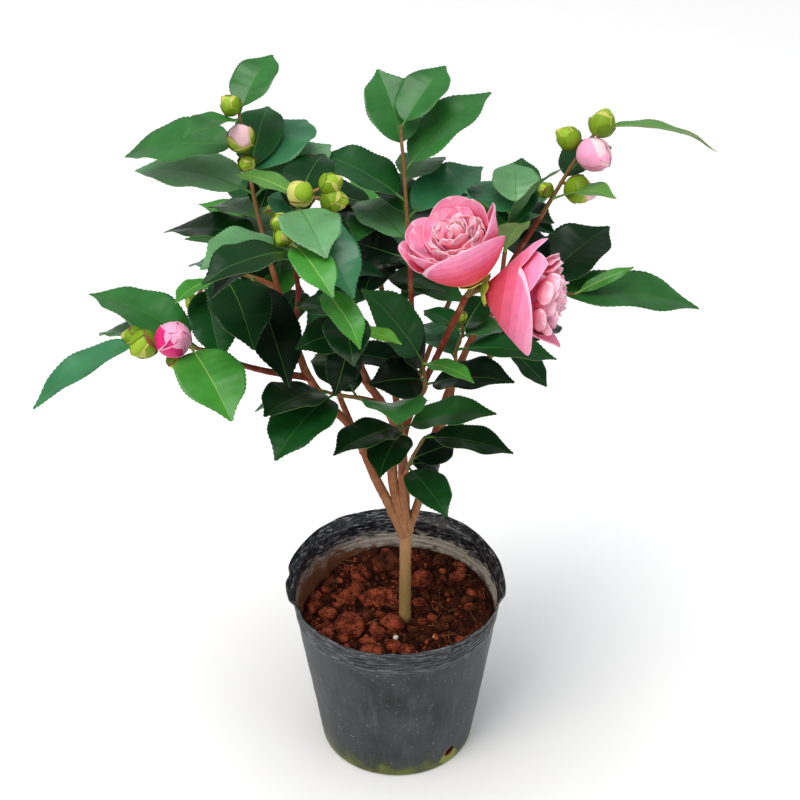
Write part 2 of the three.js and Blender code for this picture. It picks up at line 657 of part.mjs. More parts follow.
for (const { calyx, heading, rise, size } of BLOOMS) {
  const centre = new THREE.Vector3(...calyx);
  centre.addScaledVector(direction(heading, rise), size * FLOWER_BALL_MIDDLE);
  balls.push({ centre, reach: size * FLOWER_BALL_REACH, owner: "bloom_spray" });
}
const sprays = Object.entries(SPRAYS).map(([name, spray]) => {
  return { name, ...spray, curve: stemCurve(spray), blades: [] };
});
for (const spray of sprays) {
  balls.push(...limbBalls(spray.curve, twigRadius, spray.name));
  for (const bud of spray.buds) {
    balls.push({ centre: budCentre(spray.curve, bud), reach: bud[4] * 1.1 + 1, owner: spray.name });
  }
}

// Leaves are placed one by one, first those with a stated direction and then the grown ones.
const placed = [];
function placeLeaf(spray, leaf) {
  const blade = leafBlade(spray.curve.getPointAt(leaf[0]), leaf);
  if (!leafFits(blade, [spray.name, spray.bough], balls, placed)) return false;
  placed.push(bladeTriangles(blade, 0));
  const stalk = new THREE.LineCurve3(blade.root, bladePoint(blade, LEAF_STATIONS[1], 0, 0));
  balls.push(...limbBalls(stalk, () => LEAF_STALK_WIDTH / 2, spray.name));
  spray.blades.push(blade);
  return true;
}
for (const spray of sprays) {
  for (const leaf of spray.leaves) placeLeaf(spray, leaf);
}
sprays.forEach((spray, index) => {
  const [wanted, middle, fan] = spray.grown;
  let grown = 0;
  for (let attempt = 0; attempt < wanted * GROWN_TRIES && grown < wanted; attempt++) {
    const draw = (channel) => chance(1000 * index + 10 * attempt + channel);
    const leaf = [
      0.1 + 0.9 * draw(1),
      middle + fan * (2 * draw(2) - 1),
      THREE.MathUtils.lerp(...GROWN_RISE, draw(3)),
      THREE.MathUtils.lerp(...GROWN_LENGTH, draw(4)),
    ];
    if (placeLeaf(spray, leaf)) grown += 1;
  }
});

const everyCutter = Object.values(limbCutters);
for (const spray of sprays) {
  let solid = solidOf(limb(spray.curve, twigRadius, TWIG_SIDES));
  for (const blade of spray.blades) solid = solid.add(bladeSolid(blade, LEAF_STATIONS, LEAF_THICKNESS));
  for (const bud of spray.buds) solid = solid.add(budSolid(spray.curve, bud));
  for (const cutter of everyCutter) solid = solid.subtract(cutter);
  addNode(spray.name, solid, "foliage", limbMeshes[spray.bough]);
}

const bloomTip = BOUGHS.bloom_bough[3].at(-1);
let flowers = flowerSolid(BLOOMS[0], bloomTip).add(flowerSolid(BLOOMS[1], bloomTip));
for (const cutter of everyCutter) flowers = flowers.subtract(cutter);
addNode("bloom_spray", flowers, "bloom", limbMeshes.bloom_bough);

export default root;
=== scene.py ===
import itertools
import math

import bpy
import numpy as np
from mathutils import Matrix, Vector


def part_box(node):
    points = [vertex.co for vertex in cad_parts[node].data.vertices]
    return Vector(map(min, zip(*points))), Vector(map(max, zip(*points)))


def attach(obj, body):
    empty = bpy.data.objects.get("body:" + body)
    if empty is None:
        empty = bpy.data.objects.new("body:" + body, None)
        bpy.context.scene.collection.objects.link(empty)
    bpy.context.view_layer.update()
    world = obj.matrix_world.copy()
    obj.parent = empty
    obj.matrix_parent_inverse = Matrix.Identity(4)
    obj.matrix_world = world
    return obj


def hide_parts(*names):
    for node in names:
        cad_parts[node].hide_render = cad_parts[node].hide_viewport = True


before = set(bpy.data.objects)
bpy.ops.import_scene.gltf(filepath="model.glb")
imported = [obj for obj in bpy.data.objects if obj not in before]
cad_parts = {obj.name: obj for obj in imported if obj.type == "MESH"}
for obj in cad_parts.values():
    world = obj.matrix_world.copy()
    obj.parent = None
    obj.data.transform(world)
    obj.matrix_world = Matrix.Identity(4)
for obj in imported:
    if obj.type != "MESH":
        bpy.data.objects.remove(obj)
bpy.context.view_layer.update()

# --- The pot ------------------------------------------------------------------------------------------
# A thin nursery pot of black polythene, blow-moulded in one piece with five fine ribs pressed in under its
# lip. The lip flares round the back; across the front it is torn off between two nicks. Dust and scuffs dull
# the outside, wet mix has stained the inside, and algae grow up from the foot and from a drain hole.
MM = 0.001
UP = np.array([0, 0, 1])
POT_COLUMNS = 300
POT_WALL = 1.3
POT_BASE_RADIUS = 65.4
POT_TAPER = 0.142
POT_FOOT = 3
POT_SHOULDER = 136
POT_RIBS = 5
POT_RIB_PITCH = 4.2
POT_RIB_DEPTH = 1.1
POT_INNER_RIB_SHARE = 0.45
POT_LIP_REACH = 4.5
POT_FRONT_DIP = 6
POT_BACK_RISE = 4
POT_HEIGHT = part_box("pot")[1].z / MM - POT_BACK_RISE
POT_LIP_BAND = 14
POT_FLARE_BAND = 7
POT_NICKS = (-159, -17)
POT_NICK_DEPTHS = (3.5, 4.5)
POT_NICK_PINCH = 2.5
POT_CREASE_HEADING = 140
POT_CREASE_DEPTH = 3.6
POT_LIP_DENT_HEADING = 176
POT_LIP_DENT_DEPTH = 2.4
POT_LIP_FLAT_HEADING = 5
POT_LIP_FLAT_DEPTH = 2.4
POT_DENT_RADIUS = 80
POT_RIB_ROWS = 12
DRAIN_HOLES = 3
DRAIN_HEADING = -48
DRAIN_HEIGHT = 15
DRAIN_SIZE = (5.4, 4.2)


def ramp(value, low, high):
    """0 below low and 1 above high, with the smoothstep 3s^2 - 2s^3 of the share s between them."""
    share = np.clip((value - low) / (high - low), 0, 1)
    return share * share * (3 - 2 * share)


def noise(points, size, seed=0):
    """Smooth lattice noise from -1 to 1: a random number at each corner of cubic cells of the given size,
    blended across a cell by the smoothstep of the place in it."""
    cells = points / size + 7.31 * seed
    base = np.floor(cells)
    share = ramp(cells - base, 0, 1)
    total = np.zeros(points.shape[:-1])
    for corner in itertools.product((0, 1), repeat=3):
        weight = np.prod(np.where(np.array(corner) == 1, share, 1 - share), axis=-1)
        value = np.sin((base + corner) @ np.array([127.1, 311.7, 74.7])) * 43758.5453
        total += weight * (value - np.floor(value))
    return 2 * total - 1


def rough_noise(points, size, seed=0):
    """Three octaves of lattice noise, each of half the size and half the height of the one before."""
    return sum(noise(points, size / 2**k, seed + k) / 2**k for k in range(3)) / 1.75


def full_turn(count, start=0):
    """Angles spaced evenly round a full turn, in radians."""
    return np.linspace(start, start + 2 * np.pi, count, endpoint=False)


def level_directions(heading):
    """Unit vectors in the ground plane at headings in radians."""
    return np.stack([np.cos(heading), np.sin(heading), 0 * heading], axis=-1)


def grid_faces(rows, columns, around):
    """The four-cornered faces of a grid of vertices; around joins the last column to the first. They face
    the side from which columns run right as rows run up."""
    steps = columns if around else columns - 1
    row, column = np.meshgrid(np.arange(rows - 1), np.arange(steps), indexing="ij")
    first = row * columns + column
    second = row * columns + (column + 1) % columns
    return np.stack([first, second, second + columns, first + columns], axis=-1).reshape(-1, 4)


def closed_surface(rings, start, end):
    """A closed skin: rings of points, each joined to the next by faces, and a fan to a point at either end.
    A shape is its vertices, its faces with -1 for the missing corner of a triangle, and each face's slot."""
    rows, columns = rings.shape[:2]
    count = rows * columns
    here = np.arange(columns)
    there = (here + 1) % columns
    none = np.full(columns, -1)
    last = count - columns
    first_fan = np.stack([np.full(columns, count), there, here, none], axis=-1)
    last_fan = np.stack([np.full(columns, count + 1), last + here, last + there, none], axis=-1)
    faces = np.concatenate([grid_faces(rows, columns, True), first_fan, last_fan])
    vertices = np.concatenate([rings.reshape(-1, 3), [start, end]])
    return vertices, faces, np.zeros(len(faces), int)


def joined(shapes):
    """Several shapes as one, each shape's corners counted on from the vertices before it."""
    offsets = np.cumsum([0] + [len(vertices) for vertices, _, _ in shapes])
    faces = [np.where(faces < 0, -1, faces + offset) for (_, faces, _), offset in zip(shapes, offsets)]
    vertices = np.concatenate([vertices for vertices, _, _ in shapes])
    return vertices, np.concatenate(faces), np.concatenate([slots for _, _, slots in shapes])


def add_piece(name, shape, materials, flat_slots=()):
    """Puts a shape into a mesh object at the origin that rides on the plant's one body. Its faces are
    shaded smooth, but for those in the flat slots."""
    vertices, faces, slots = shape
    corners = faces[faces >= 0]
    counts = (faces >= 0).sum(axis=1)
    mesh = bpy.data.meshes.new(name)
    mesh.vertices.add(len(vertices))
    mesh.vertices.foreach_set("co", (vertices * MM).astype(np.float32).ravel())
    mesh.loops.add(len(corners))
    mesh.loops.foreach_set("vertex_index", corners.astype(np.int32))
    mesh.polygons.add(len(faces))
    mesh.polygons.foreach_set("loop_start", (np.cumsum(counts) - counts).astype(np.int32))
    mesh.polygons.foreach_set("material_index", slots.astype(np.int32))
    mesh.polygons.foreach_set("use_smooth", ~np.isin(slots, flat_slots))
    for material in materials:
        mesh.materials.append(material)
    mesh.update(calc_edges=True)
    piece = bpy.data.objects.new(name, mesh)
    bpy.context.scene.collection.objects.link(piece)
    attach(piece, "root")
    return piece


def pot_heights():
    """Heights up the pot's side: even steps to the shoulder, small ones over each rib and over the lip."""
    rib_top = POT_SHOULDER + POT_RIBS * POT_RIB_PITCH
    side = np.linspace(POT_FOOT, POT_SHOULDER, 30)[:-1]
    ribs = np.linspace(POT_SHOULDER, rib_top, POT_RIB_ROWS * POT_RIBS)[:-1]
    return np.concatenate([side, ribs, np.linspace(rib_top, POT_HEIGHT, POT_RIB_ROWS)])


def pot_wall(height, heading, inset):
    """Points of the wall at heights (rows) and headings (columns). The radius is the tapering side's, plus a
    half wave for each rib, plus a quarter wave for the lip's flare, less inset, with dents of noise. In front
    the flare is left out and the lip drawn down. Nicks, a crease and a dent are bells over the heading."""
    z = height[:, None] + 0 * heading
    degrees = np.degrees(heading)[None, :] + 0 * z
    around = np.stack([np.cos(heading) + 0 * z, np.sin(heading) + 0 * z, z], axis=-1)
    ring = around * (POT_DENT_RADIUS, POT_DENT_RADIUS, 1)

    def bell(middle, width):
        """1 at a heading, falling off by the exponential of the squared turn from it over the width."""
        turn = (degrees - middle + 180) % 360 - 180
        return np.exp(-((turn / width) ** 2))

    left_nick, right_nick = POT_NICKS
    front = ramp(degrees, left_nick - 3, left_nick + 2)
    front = front * (1 - ramp(degrees, right_nick - 2, right_nick + 3))
    lip = ramp(z, POT_HEIGHT - POT_LIP_BAND, POT_HEIGHT)
    rib_place = (z - POT_SHOULDER) / POT_RIB_PITCH + 0.16 * noise(ring, 26, 3)
    ribbed = ramp(rib_place, 0, 0.3) * (1 - ramp(rib_place, POT_RIBS - 0.3, POT_RIBS))
    rib = (0.5 - 0.5 * np.cos(2 * np.pi * rib_place)) * (0.75 + 0.25 * noise(ring, 15, 4))
    flare = np.sin(np.pi / 2 * np.clip((z - POT_HEIGHT + POT_FLARE_BAND) / POT_FLARE_BAND, 0, 1))
    depth = POT_RIB_DEPTH if inset == 0 else POT_INNER_RIB_SHARE * POT_RIB_DEPTH
    radius = POT_BASE_RADIUS + POT_TAPER * z + depth * rib * ribbed
    lip_reach = POT_LIP_REACH - POT_LIP_FLAT_DEPTH * bell(POT_LIP_FLAT_HEADING, 38)
    radius += (lip_reach + 1.2 * noise(ring, 30, 5)) * flare * (1 - front)
    radius += ramp(z, 8, 40) * (0.8 * noise(ring, 48, 6) + 0.25 * noise(ring, 14, 7))
    crease = POT_CREASE_DEPTH * bell(POT_CREASE_HEADING, 3.6)
    radius -= crease * ramp(z, 112, 124) * (1 - ramp(z, 150, 160))
    radius -= POT_LIP_DENT_DEPTH * bell(POT_LIP_DENT_HEADING, 4) * lip
    for nick, cut in zip(POT_NICKS, POT_NICK_DEPTHS):
        radius -= POT_NICK_PINCH * bell(nick, 2.5) * lip
        z -= (cut * bell(nick, 1.3) + 0.5 * cut * bell(nick - 5, 1)) * lip
    drop = POT_FRONT_DIP * front - POT_BACK_RISE * np.clip(np.sin(heading), 0, 1)
    z -= (drop + 0.7 * noise(ring, 12, 8) + 0.35 * front * noise(ring, 3.5, 9)) * lip
    radius -= inset
    return np.stack([radius * np.cos(heading), radius * np.sin(heading), z], axis=-1)


def pot_shape():
    """The pot's skin: out across the flat bottom, round the foot, up the outside, over the edge of the lip
    and down the inside to the floor."""
    heading = full_turn(POT_COLUMNS, -np.pi)
    turn = np.linspace(0, np.pi / 2, 6)[:-1]
    foot_radius = POT_BASE_RADIUS + POT_TAPER * POT_FOOT - POT_FOOT * (1 - np.sin(turn))
    foot_height = POT_FOOT * (1 - np.cos(turn))
    around = level_directions(heading)
    bottom = foot_radius[0] * np.array([0.3, 0.6, 0.9])
    rim = np.concatenate([bottom, foot_radius])[:, None, None] * around
    rim += np.concatenate([0 * bottom, foot_height])[:, None, None] * UP
    height = pot_heights()
    outside = pot_wall(height, heading, 0)
    inside = pot_wall(height[::-1], heading, POT_WALL)
    edge = (outside[-1:] + inside[:1]) / 2 + 0.3 * UP
    rings = np.concatenate([rim, outside, edge, inside])
    shape = closed_surface(rings, (0, 0, 0), (0, 0, POT_WALL + 1))
    outer_faces = (len(rim) + len(outside)) * POT_COLUMNS
    shape[2][outer_faces : (len(rings) - 1) * POT_COLUMNS] = 1
    shape[2][-POT_COLUMNS:] = 1
    return shape


def drain_cutters():
    """Short oval rods through the wall, one for each drain hole: circles squeezed to the hole's sizes."""
    turn = full_turn(20)
    shapes = []
    for heading in np.radians(DRAIN_HEADING + 360 / DRAIN_HOLES * np.arange(DRAIN_HOLES)):
        out = np.array([math.cos(heading), math.sin(heading), 0])
        side = np.array([-out[1], out[0], 0])
        oval = DRAIN_SIZE[0] * np.cos(turn)[:, None] * (0.8 * side + [0, 0, 0.6])
        oval = oval + DRAIN_SIZE[1] * np.sin(turn)[:, None] * (-0.6 * side + [0, 0, 0.8])
        reaches = (POT_BASE_RADIUS - 3, POT_BASE_RADIUS + 8)
        middles = [out * reach + [0, 0, DRAIN_HEIGHT] for reach in reaches]
        rings = np.stack([middle + oval for middle in middles])
        shapes.append(closed_surface(rings, *middles))
    return joined(shapes)


def linear(colour):
    """An sRGB hex colour as linear red, green and blue, and an alpha of 1."""
    parts = [int(colour[i : i + 2], 16) / 255 for i in (1, 3, 5)]
    return (*[c / 12.92 if c <= 0.04045 else ((c + 0.055) / 1.055) ** 2.4 for c in parts], 1)


def feed(node, inputs):
    """Links each input that is given a socket, and sets each that is given a number or a colour."""
    for name, value in inputs.items():
        if isinstance(value, bpy.types.NodeSocket):
            node.id_data.links.new(value, node.inputs[name])
        else:
            node.inputs[name].default_value = linear(value) if isinstance(value, str) else value


def add_node(material, kind, inputs, **settings):
    """Adds a node to a material with its settings, and feeds its inputs."""
    node = material.node_tree.nodes.new("ShaderNode" + kind)
    for name, value in settings.items():
        setattr(node, name, value)
    feed(node, inputs)
    return node


def new_material(name, inputs):
    """A material whose shader has the given inputs. It comes with its shader and its Object coordinates."""
    material = bpy.data.materials.new(name)
    material.use_nodes = True
    shader = material.node_tree.nodes["Principled BSDF"]
    feed(shader, inputs)
    return material, shader, add_node(material, "TexCoord", {}).outputs["Object"]


def over(material, share, below, above):
    """The colour below with the colour above laid over it by a share."""
    node = add_node(material, "Mix", {0: share, 6: below, 7: above}, data_type="RGBA")
    return node.outputs[2]


def band(material, value, low, high, least=0, most=1):
    """A value's place between low and high, as a share from least to most."""
    return add_node(material, "MapRange", {0: value, 1: low, 2: high, 3: least, 4: most}).outputs[0]


def tinted(material, colour, value, low, high, most, tint):
    """A colour with a tint laid over it where a value lies between low and high, up to a share of most."""
    return over(material, band(material, value, low, high, 0, most), colour, tint)


def speckle(material, place, size_mm, detail=3, stretch=(1, 1, 1), roughness=0.5):
    """Noise of a size in millimetres, drawn out along an axis where its stretch is below 1."""
    vector = add_node(material, "Mapping", {"Vector": place, "Scale": stretch}).outputs[0]
    inputs = {"Vector": vector, "Scale": 1 / (size_mm * MM), "Detail": detail, "Roughness": roughness}
    return add_node(material, "TexNoise", inputs).outputs[0]


def combine(material, operation, first, second):
    """Two numbers of a material added, multiplied and so on."""
    return add_node(material, "Math", {0: first, 1: second}, operation=operation).outputs[0]


def ragged(material, length, low_mm, high_mm, least, most, grain):
    """A length's place between two, as a number from least to most, with a noise added so that the edge of
    a stain laid over by it is ragged."""
    place = band(material, length, low_mm * MM, high_mm * MM, least, most)
    return combine(material, "ADD", place, grain)


def pot_outside_material():
    """Weathered black polythene, IOR 1.5: satin and blue-black under a dusty bloom that clouds it, with pale
    scuffs and dark streaks of painted groove shade along the mould's ribs, fine pale scratches, olive algae
    on the last centimetre, a green and rusty run round the drain hole, and a pale beige band down the right
    that is partly dust and partly a painted reflection of the glancing light."""
    material, shader, place = new_material("weathered_polythene", {"IOR": 1.5, "Specular IOR Level": 0.32})
    split = add_node(material, "SeparateXYZ", {0: place}).outputs
    cloud = speckle(material, place, 42, 5, roughness=0.6)
    colour = tinted(material, "#0b0d0f", cloud, 0.34, 0.68, 1, "#3a4044")
    down = speckle(material, place, 7, 4, (1, 1, 0.12), 0.6)
    colour = tinted(material, colour, down, 0.52, 0.75, 0.22, "#6b7072")
    fleck = speckle(material, place, 1.7, 2, (1, 1, 0.7))
    colour = tinted(material, colour, fleck, 0.69, 0.76, 0.6, "#b9bdb9")
    in_ribs = band(material, split[2], (POT_SHOULDER - 7) * MM, (POT_SHOULDER + 2) * MM)
    streak = speckle(material, place, 11, 6, (1, 1, 12), 0.7)
    scuff = combine(material, "MULTIPLY", band(material, streak, 0.52, 0.66, 0, 0.9), in_ribs)
    colour = over(material, scuff, colour, "#8b8f90")
    # Painted shade: dark horizontal streaks in the rib band stand in for the shade in the ribs' grooves.
    crease = combine(material, "MULTIPLY", band(material, streak, 0.48, 0.38, 0, 0.9), in_ribs)
    colour = over(material, crease, colour, "#0b0d0f")
    # Partly dust, partly painted reflection: a pale beige band down the right side of the wall, where it
    # turns away at a glancing angle.
    right = ragged(material, split[0], 66, 80, -0.3, 0.35, down)
    colour = tinted(material, colour, right, 0.6, 0.9, 0.5, "#8f8778")
    tide = speckle(material, place, 16, 4)
    low = ragged(material, split[2], 34, 0, -0.3, 0.36, tide)
    colour = tinted(material, colour, low, 0.45, 0.8, 0.85, "#3e4319")
    colour = tinted(material, colour, low, 0.62, 0.85, 0.6, "#6f7a2b")
    hole = [(POT_BASE_RADIUS + 1.6) * f(math.radians(DRAIN_HEADING)) * MM for f in (math.cos, math.sin)]
    for drop, size, tint in ((-7, 13, "#87913a"), (0, 8, "#7e4a22")):
        middle = (hole[0], hole[1], (DRAIN_HEIGHT + drop) * MM)
        away = add_node(material, "VectorMath", {0: place, 1: middle}, operation="DISTANCE")
        near = ragged(material, away.outputs["Value"], size, size / 3, -0.3, 0.5, tide)
        colour = tinted(material, colour, near, 0.45, 0.75, 0.85, tint)
    bump = add_node(material, "Bump", {"Height": down, "Strength": 0.5, "Distance": 0.0008})
    shine = band(material, cloud, 0.3, 0.7, 0.36, 0.6)
    feed(shader, {"Base Color": colour, "Roughness": shine, "Normal": bump.outputs[0]})
    return material


def pot_inside_material(ground):
    """The inside of the same polythene: blue-black under the lip with pale dashes where the ribs are scuffed,
    a blotchy band of dried grey silt above the mix, and orange-brown clay smeared over the left."""
    skin = {"IOR": 1.5, "Specular IOR Level": 0.4}
    material, shader, place = new_material("soil_stained_polythene", skin)
    split = add_node(material, "SeparateXYZ", {0: place}).outputs
    dash = speckle(material, place, 7, 5, (1, 1, 9), 0.65)
    colour = tinted(material, "#080a0e", dash, 0.45, 0.58, 0.7, "#2a2f38")
    colour = tinted(material, colour, dash, 0.55, 0.64, 0.9, "#a8a9ac")
    blot = speckle(material, place, 9, 5, (1, 1, 2.5), 0.7)
    bank = ragged(material, split[2], ground + 34, ground + 14, -0.3, 0.3, blot)
    colour = tinted(material, colour, bank, 0.4, 0.55, 0.95, "#b5ada2")
    dirt = ragged(material, split[2], ground + 26, ground + 6, -0.3, 0.35, blot)
    colour = tinted(material, colour, dirt, 0.5, 0.68, 0.9, "#3a1f12")
    clay = ragged(material, split[2], ground + 32, ground + 10, -0.35, 0.2, blot)
    clay = ragged(material, split[0], 5, -55, -0.35, 0.12, clay)
    colour = tinted(material, colour, clay, 0.36, 0.66, 0.92, "#6d3d1c")
    shine = band(material, bank, 0.4, 0.7, 0.42, 0.85)
    feed(shader, {"Base Color": colour, "Roughness": shine})
    return material


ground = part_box("trunk")[0].z / MM
pot_materials = [pot_outside_material(), pot_inside_material(ground)]
pot = add_piece("pot_shell", pot_shape(), pot_materials)
cutter = add_piece("drain_cutter", drain_cutters(), [])
drain = pot.modifiers.new("drains", "BOOLEAN")
drain.object = cutter
drain.solver = "EXACT"
drilled = bpy.data.meshes.new_from_object(pot.evaluated_get(bpy.context.evaluated_depsgraph_get()))
pot.modifiers.clear()
pot.data = drilled
bpy.data.objects.remove(cutter)
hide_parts("pot")

# --- The potting mix ----------------------------------------------------------------------------------
# Lumps of broken red laterite over a fine dark mix of bark, coir and crumbs, filled to 45 mm under the rim.
# The lumps lie mostly on the left. The right is finer, with loose coir fibres and two grains of perlite.
TRUNK_X = 7
MIX_COLUMNS = 320
MIX_RINGS = 90
MIX_BANK = 14
MIX_BANK_HEADING = 55
MIX_GAP = 0.6
# Lumps: x, y, length, width, height, turn, and 1 if the lump is dark and muddy and not red.
LUMPS = (
    (-46, 27, 17, 15, 13, 10, 0), (-34, 53, 22, 11, 12, 60, 0), (-36, 36, 14, 12, 11, 0, 0),
    (-19, 22, 30, 18, 14, 30, 0), (-6, 26, 15, 13, 11, 70, 0), (-9, 62, 25, 24, 15, 20, 1),
    (-5, -9, 22, 17, 15, -40, 0), (-41, -11, 30, 25, 15, -60, 0), (-59, 3, 17, 14, 12, 0, 0),
    (20, 44, 20, 16, 16, 0, 0), (19, 20, 11, 9, 8, 0, 0), (52, 41, 17, 11, 9, 15, 0),
    (-70, 16, 18, 12, 12, 80, 0), (-17, -19, 18, 12, 12, -60, 0), (-3, -37, 14, 11, 9, 20, 0),
    (8, -42, 15, 12, 9, 0, 0), (-22, -46, 22, 15, 11, 20, 0), (-62, -22, 18, 14, 11, 50, 0),
    (-48, -44, 18, 13, 10, -30, 0), (-57, 42, 16, 12, 10, 40, 1), (-22, -62, 14, 11, 9, 0, 0),
    (-26, 2, 14, 12, 9, 0, 1), (38, 60, 14, 10, 8, 0, 1), (60, 14, 12, 9, 7, 0, 1),
)
# Grains of perlite: x, y, height over the ground, sizes, and the seed of their shape.
PERLITE = ((-1, -31, 5.5, (4.6, 4, 3.6), 7), (31, -26, 1.5, (2.6, 2.2, 2), 8))
CRUMBS = 900
CRUMB_RADII = (0.9, 4.4)
CRUMB_STRETCH = (1.3, 1, 0.8)
LUMP_PLANES = 16
# The rows and columns of a lump's, a crumb's and a perlite grain's skin.
LUMP_GRID = (22, 30)
CRUMB_GRID = (6, 9)
PERLITE_GRID = (8, 12)
FIBRES = 46
FIBRE_RADIUS = 0.24
FIBRE_LENGTHS = (4, 11)
BARE_RADIUS = 9
BARE_EDGE = 14


def chance(seed):
    """A repeatable number from 0 to 1: the fraction left of a large multiple of the seed's sine."""
    wave = np.sin(np.asarray(seed) * 12.9898 + 4.1) * 43758.5453
    return wave - np.floor(wave)


def between(ends, share):
    """The number at a share of the way between two ends."""
    return ends[0] + (ends[1] - ends[0]) * share


def mix_radius(height):
    """The radius of the mix at a height: the tapering pot's, less its wall and a hair's gap."""
    return POT_BASE_RADIUS + POT_TAPER * height - POT_WALL - MIX_GAP


def mix_level(x, y):
    """The height of the mix: noise in waves of 34, 13, 5 and 1.9 mm, coarser on the left, level round the
    trunk, and banked up against the wall at the back and on the right."""
    points = np.stack([x, y, 0 * x], axis=-1)
    free = ramp(np.hypot(x - TRUNK_X, y), BARE_RADIUS, BARE_RADIUS + BARE_EDGE)
    coarse = 2.6 - 1.2 * ramp(x, -20, 30)
    waves = coarse * noise(points, 34, 11) + 0.5 * coarse * noise(points, 13, 12)
    bank_heading = math.radians(MIX_BANK_HEADING)
    towards = x * math.cos(bank_heading) + y * math.sin(bank_heading)
    bank = MIX_BANK * ramp(np.hypot(x, y), 30, mix_rim) * ramp(towards, -30, 60)
    return ground - 1 + bank + free * waves + 0.9 * noise(points, 5, 13) + 0.45 * noise(points, 1.9, 14)


def mix_shape():
    """The body of the mix: a flat bottom, a tapering side just inside the pot, and a top of noise that meets
    the side in a rounded edge."""
    around = level_directions(full_turn(MIX_COLUMNS))
    side_height = np.concatenate([[POT_WALL + 1], np.linspace(POT_FOOT + 2, ground - 6, 8)])
    side = mix_radius(side_height)[:, None, None] * around + side_height[:, None, None] * UP
    radius = mix_rim * np.sqrt(np.linspace(1, 0.0004, MIX_RINGS))
    top = radius[:, None, None] * around
    top[..., 2] = mix_level(top[..., 0], top[..., 1])
    middle = mix_level(np.zeros(1), np.zeros(1))[0]
    return closed_surface(np.concatenate([side, top]), (0, 0, POT_WALL + 1), (0, 0, middle))


def lump_shape(middle, sizes, turn, rows, columns, seed):
    """A broken lump: in each direction as far as the nearest of some planes set at random round a ball,
    stretched to three sizes and pitted with noise."""
    tilt = np.linspace(0, np.pi, rows + 2)[1:-1, None]
    around = full_turn(columns)[None, :]
    ball = [np.sin(tilt) * np.cos(around), np.sin(tilt) * np.sin(around), -np.cos(tilt) + 0 * around]
    ball = np.stack(ball, axis=-1)
    points = np.concatenate([ball.reshape(-1, 3), [[0, 0, -1.0], [0, 0, 1.0]]])
    draws = chance(seed * 3.7 + 0.37 * np.arange(3 * LUMP_PLANES)).reshape(LUMP_PLANES, 3)
    planes = 2 * draws - 1
    planes = planes / np.linalg.norm(planes, axis=1)[:, None]
    facing = np.maximum(points @ planes.T, 0.2)
    reach = np.minimum(1.12, ((0.78 + 0.25 * draws[:, 0]) / facing).min(axis=1))
    reach = reach * (1 + 0.09 * rough_noise(points, 0.5, seed))
    points = points * reach[:, None] * np.array(sizes) / 2
    points = points + 0.35 * noise(points, 1.7, seed + 0.8)[:, None]
    cosine, sine = math.cos(math.radians(turn)), math.sin(math.radians(turn))
    x = points[:, 0] * cosine - points[:, 1] * sine
    y = points[:, 0] * sine + points[:, 1] * cosine
    turned = np.stack([x, y, points[:, 2]], axis=-1) + np.array(middle)
    return closed_surface(turned[:-2].reshape(rows, columns, 3), turned[-2], turned[-1])


def with_slot(shape, slot):
    """The shape with every face in one material slot."""
    return shape[0], shape[1], np.full(len(shape[1]), slot)


def tube(path, radii, sides, grain=None):
    """A round limb along a path of points, with a radius at each: rings square to the path, each turned
    least from the one before. grain adds to the radii by a function of the points of the skin."""
    tangent = np.gradient(path, axis=0)
    tangent /= np.linalg.norm(tangent, axis=1)[:, None]
    normal = np.cross(tangent[0], (0.31, 0.95, 0.05))
    normals = []
    for direction in tangent:
        normal = normal - direction * (normal @ direction)
        normal = normal / np.linalg.norm(normal)
        normals.append(normal)
    normals = np.array(normals)
    binormals = np.cross(tangent, normals)
    turn = full_turn(sides)
    out = np.cos(turn)[None, :, None] * normals[:, None] + np.sin(turn)[None, :, None] * binormals[:, None]
    reach = np.broadcast_to(np.asarray(radii, float)[:, None], out.shape[:2])
    if grain is not None:
        reach = reach + grain(path[:, None] + reach[..., None] * out)
    return closed_surface(path[:, None] + reach[..., None] * out, path[0], path[-1])


def grain_material(name, dark, light, grain_mm, roughness):
    """A rough mineral or woody stuff: two colours mixed by noise of a grain's size and of five times that,
    bumpy at the grain's size."""
    material, shader, place = new_material(name, {"Roughness": roughness, "Specular IOR Level": 0.12})
    grain = speckle(material, place, grain_mm, 4)
    both = combine(material, "ADD", grain, speckle(material, place, 5 * grain_mm))
    colour = tinted(material, dark, both, 0.82, 1.22, 1, light)
    depth = 0.5 * grain_mm * MM
    bump = add_node(material, "Bump", {"Height": grain, "Strength": 0.7, "Distance": depth})
    feed(shader, {"Base Color": colour, "Normal": bump.outputs[0]})
    return material


def scattered(count, first_seed):
    """Places spread evenly over the mix from its middle to its rim, by random radii and headings, with a
    draw from 0 to 1 for each. Those at the trunk are left out."""
    seeds = first_seed + 3 * np.arange(count)
    radius = (mix_rim - 3) * np.sqrt(chance(seeds))
    heading = 2 * np.pi * chance(seeds + 1)
    x = radius * np.cos(heading)
    y = radius * np.sin(heading)
    away = np.hypot(x - TRUNK_X, y) > BARE_RADIUS
    return x[away], y[away], chance(seeds + 2)[away]


mix_rim = mix_radius(ground)
# Laterite is brick red and porous; the muddy lumps, bark and coir dust are dark brown.
red_laterite = grain_material("red_laterite", "#3a140b", "#ac5237", 1.5, 0.95)
muddy_laterite = grain_material("muddy_laterite", "#1c0c06", "#6a3620", 1.6, 0.95)
dark_mix = grain_material("bark_and_coir_mix", "#0f0603", "#4c2112", 1.3, 0.97)
coir = grain_material("coir_fibre", "#6d452a", "#b98a5c", 1, 0.85)
perlite = grain_material("perlite", "#cfc8b4", "#f2eee2", 0.8, 0.9)

mix = add_piece("potting_mix", mix_shape(), [dark_mix])
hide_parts("soil")

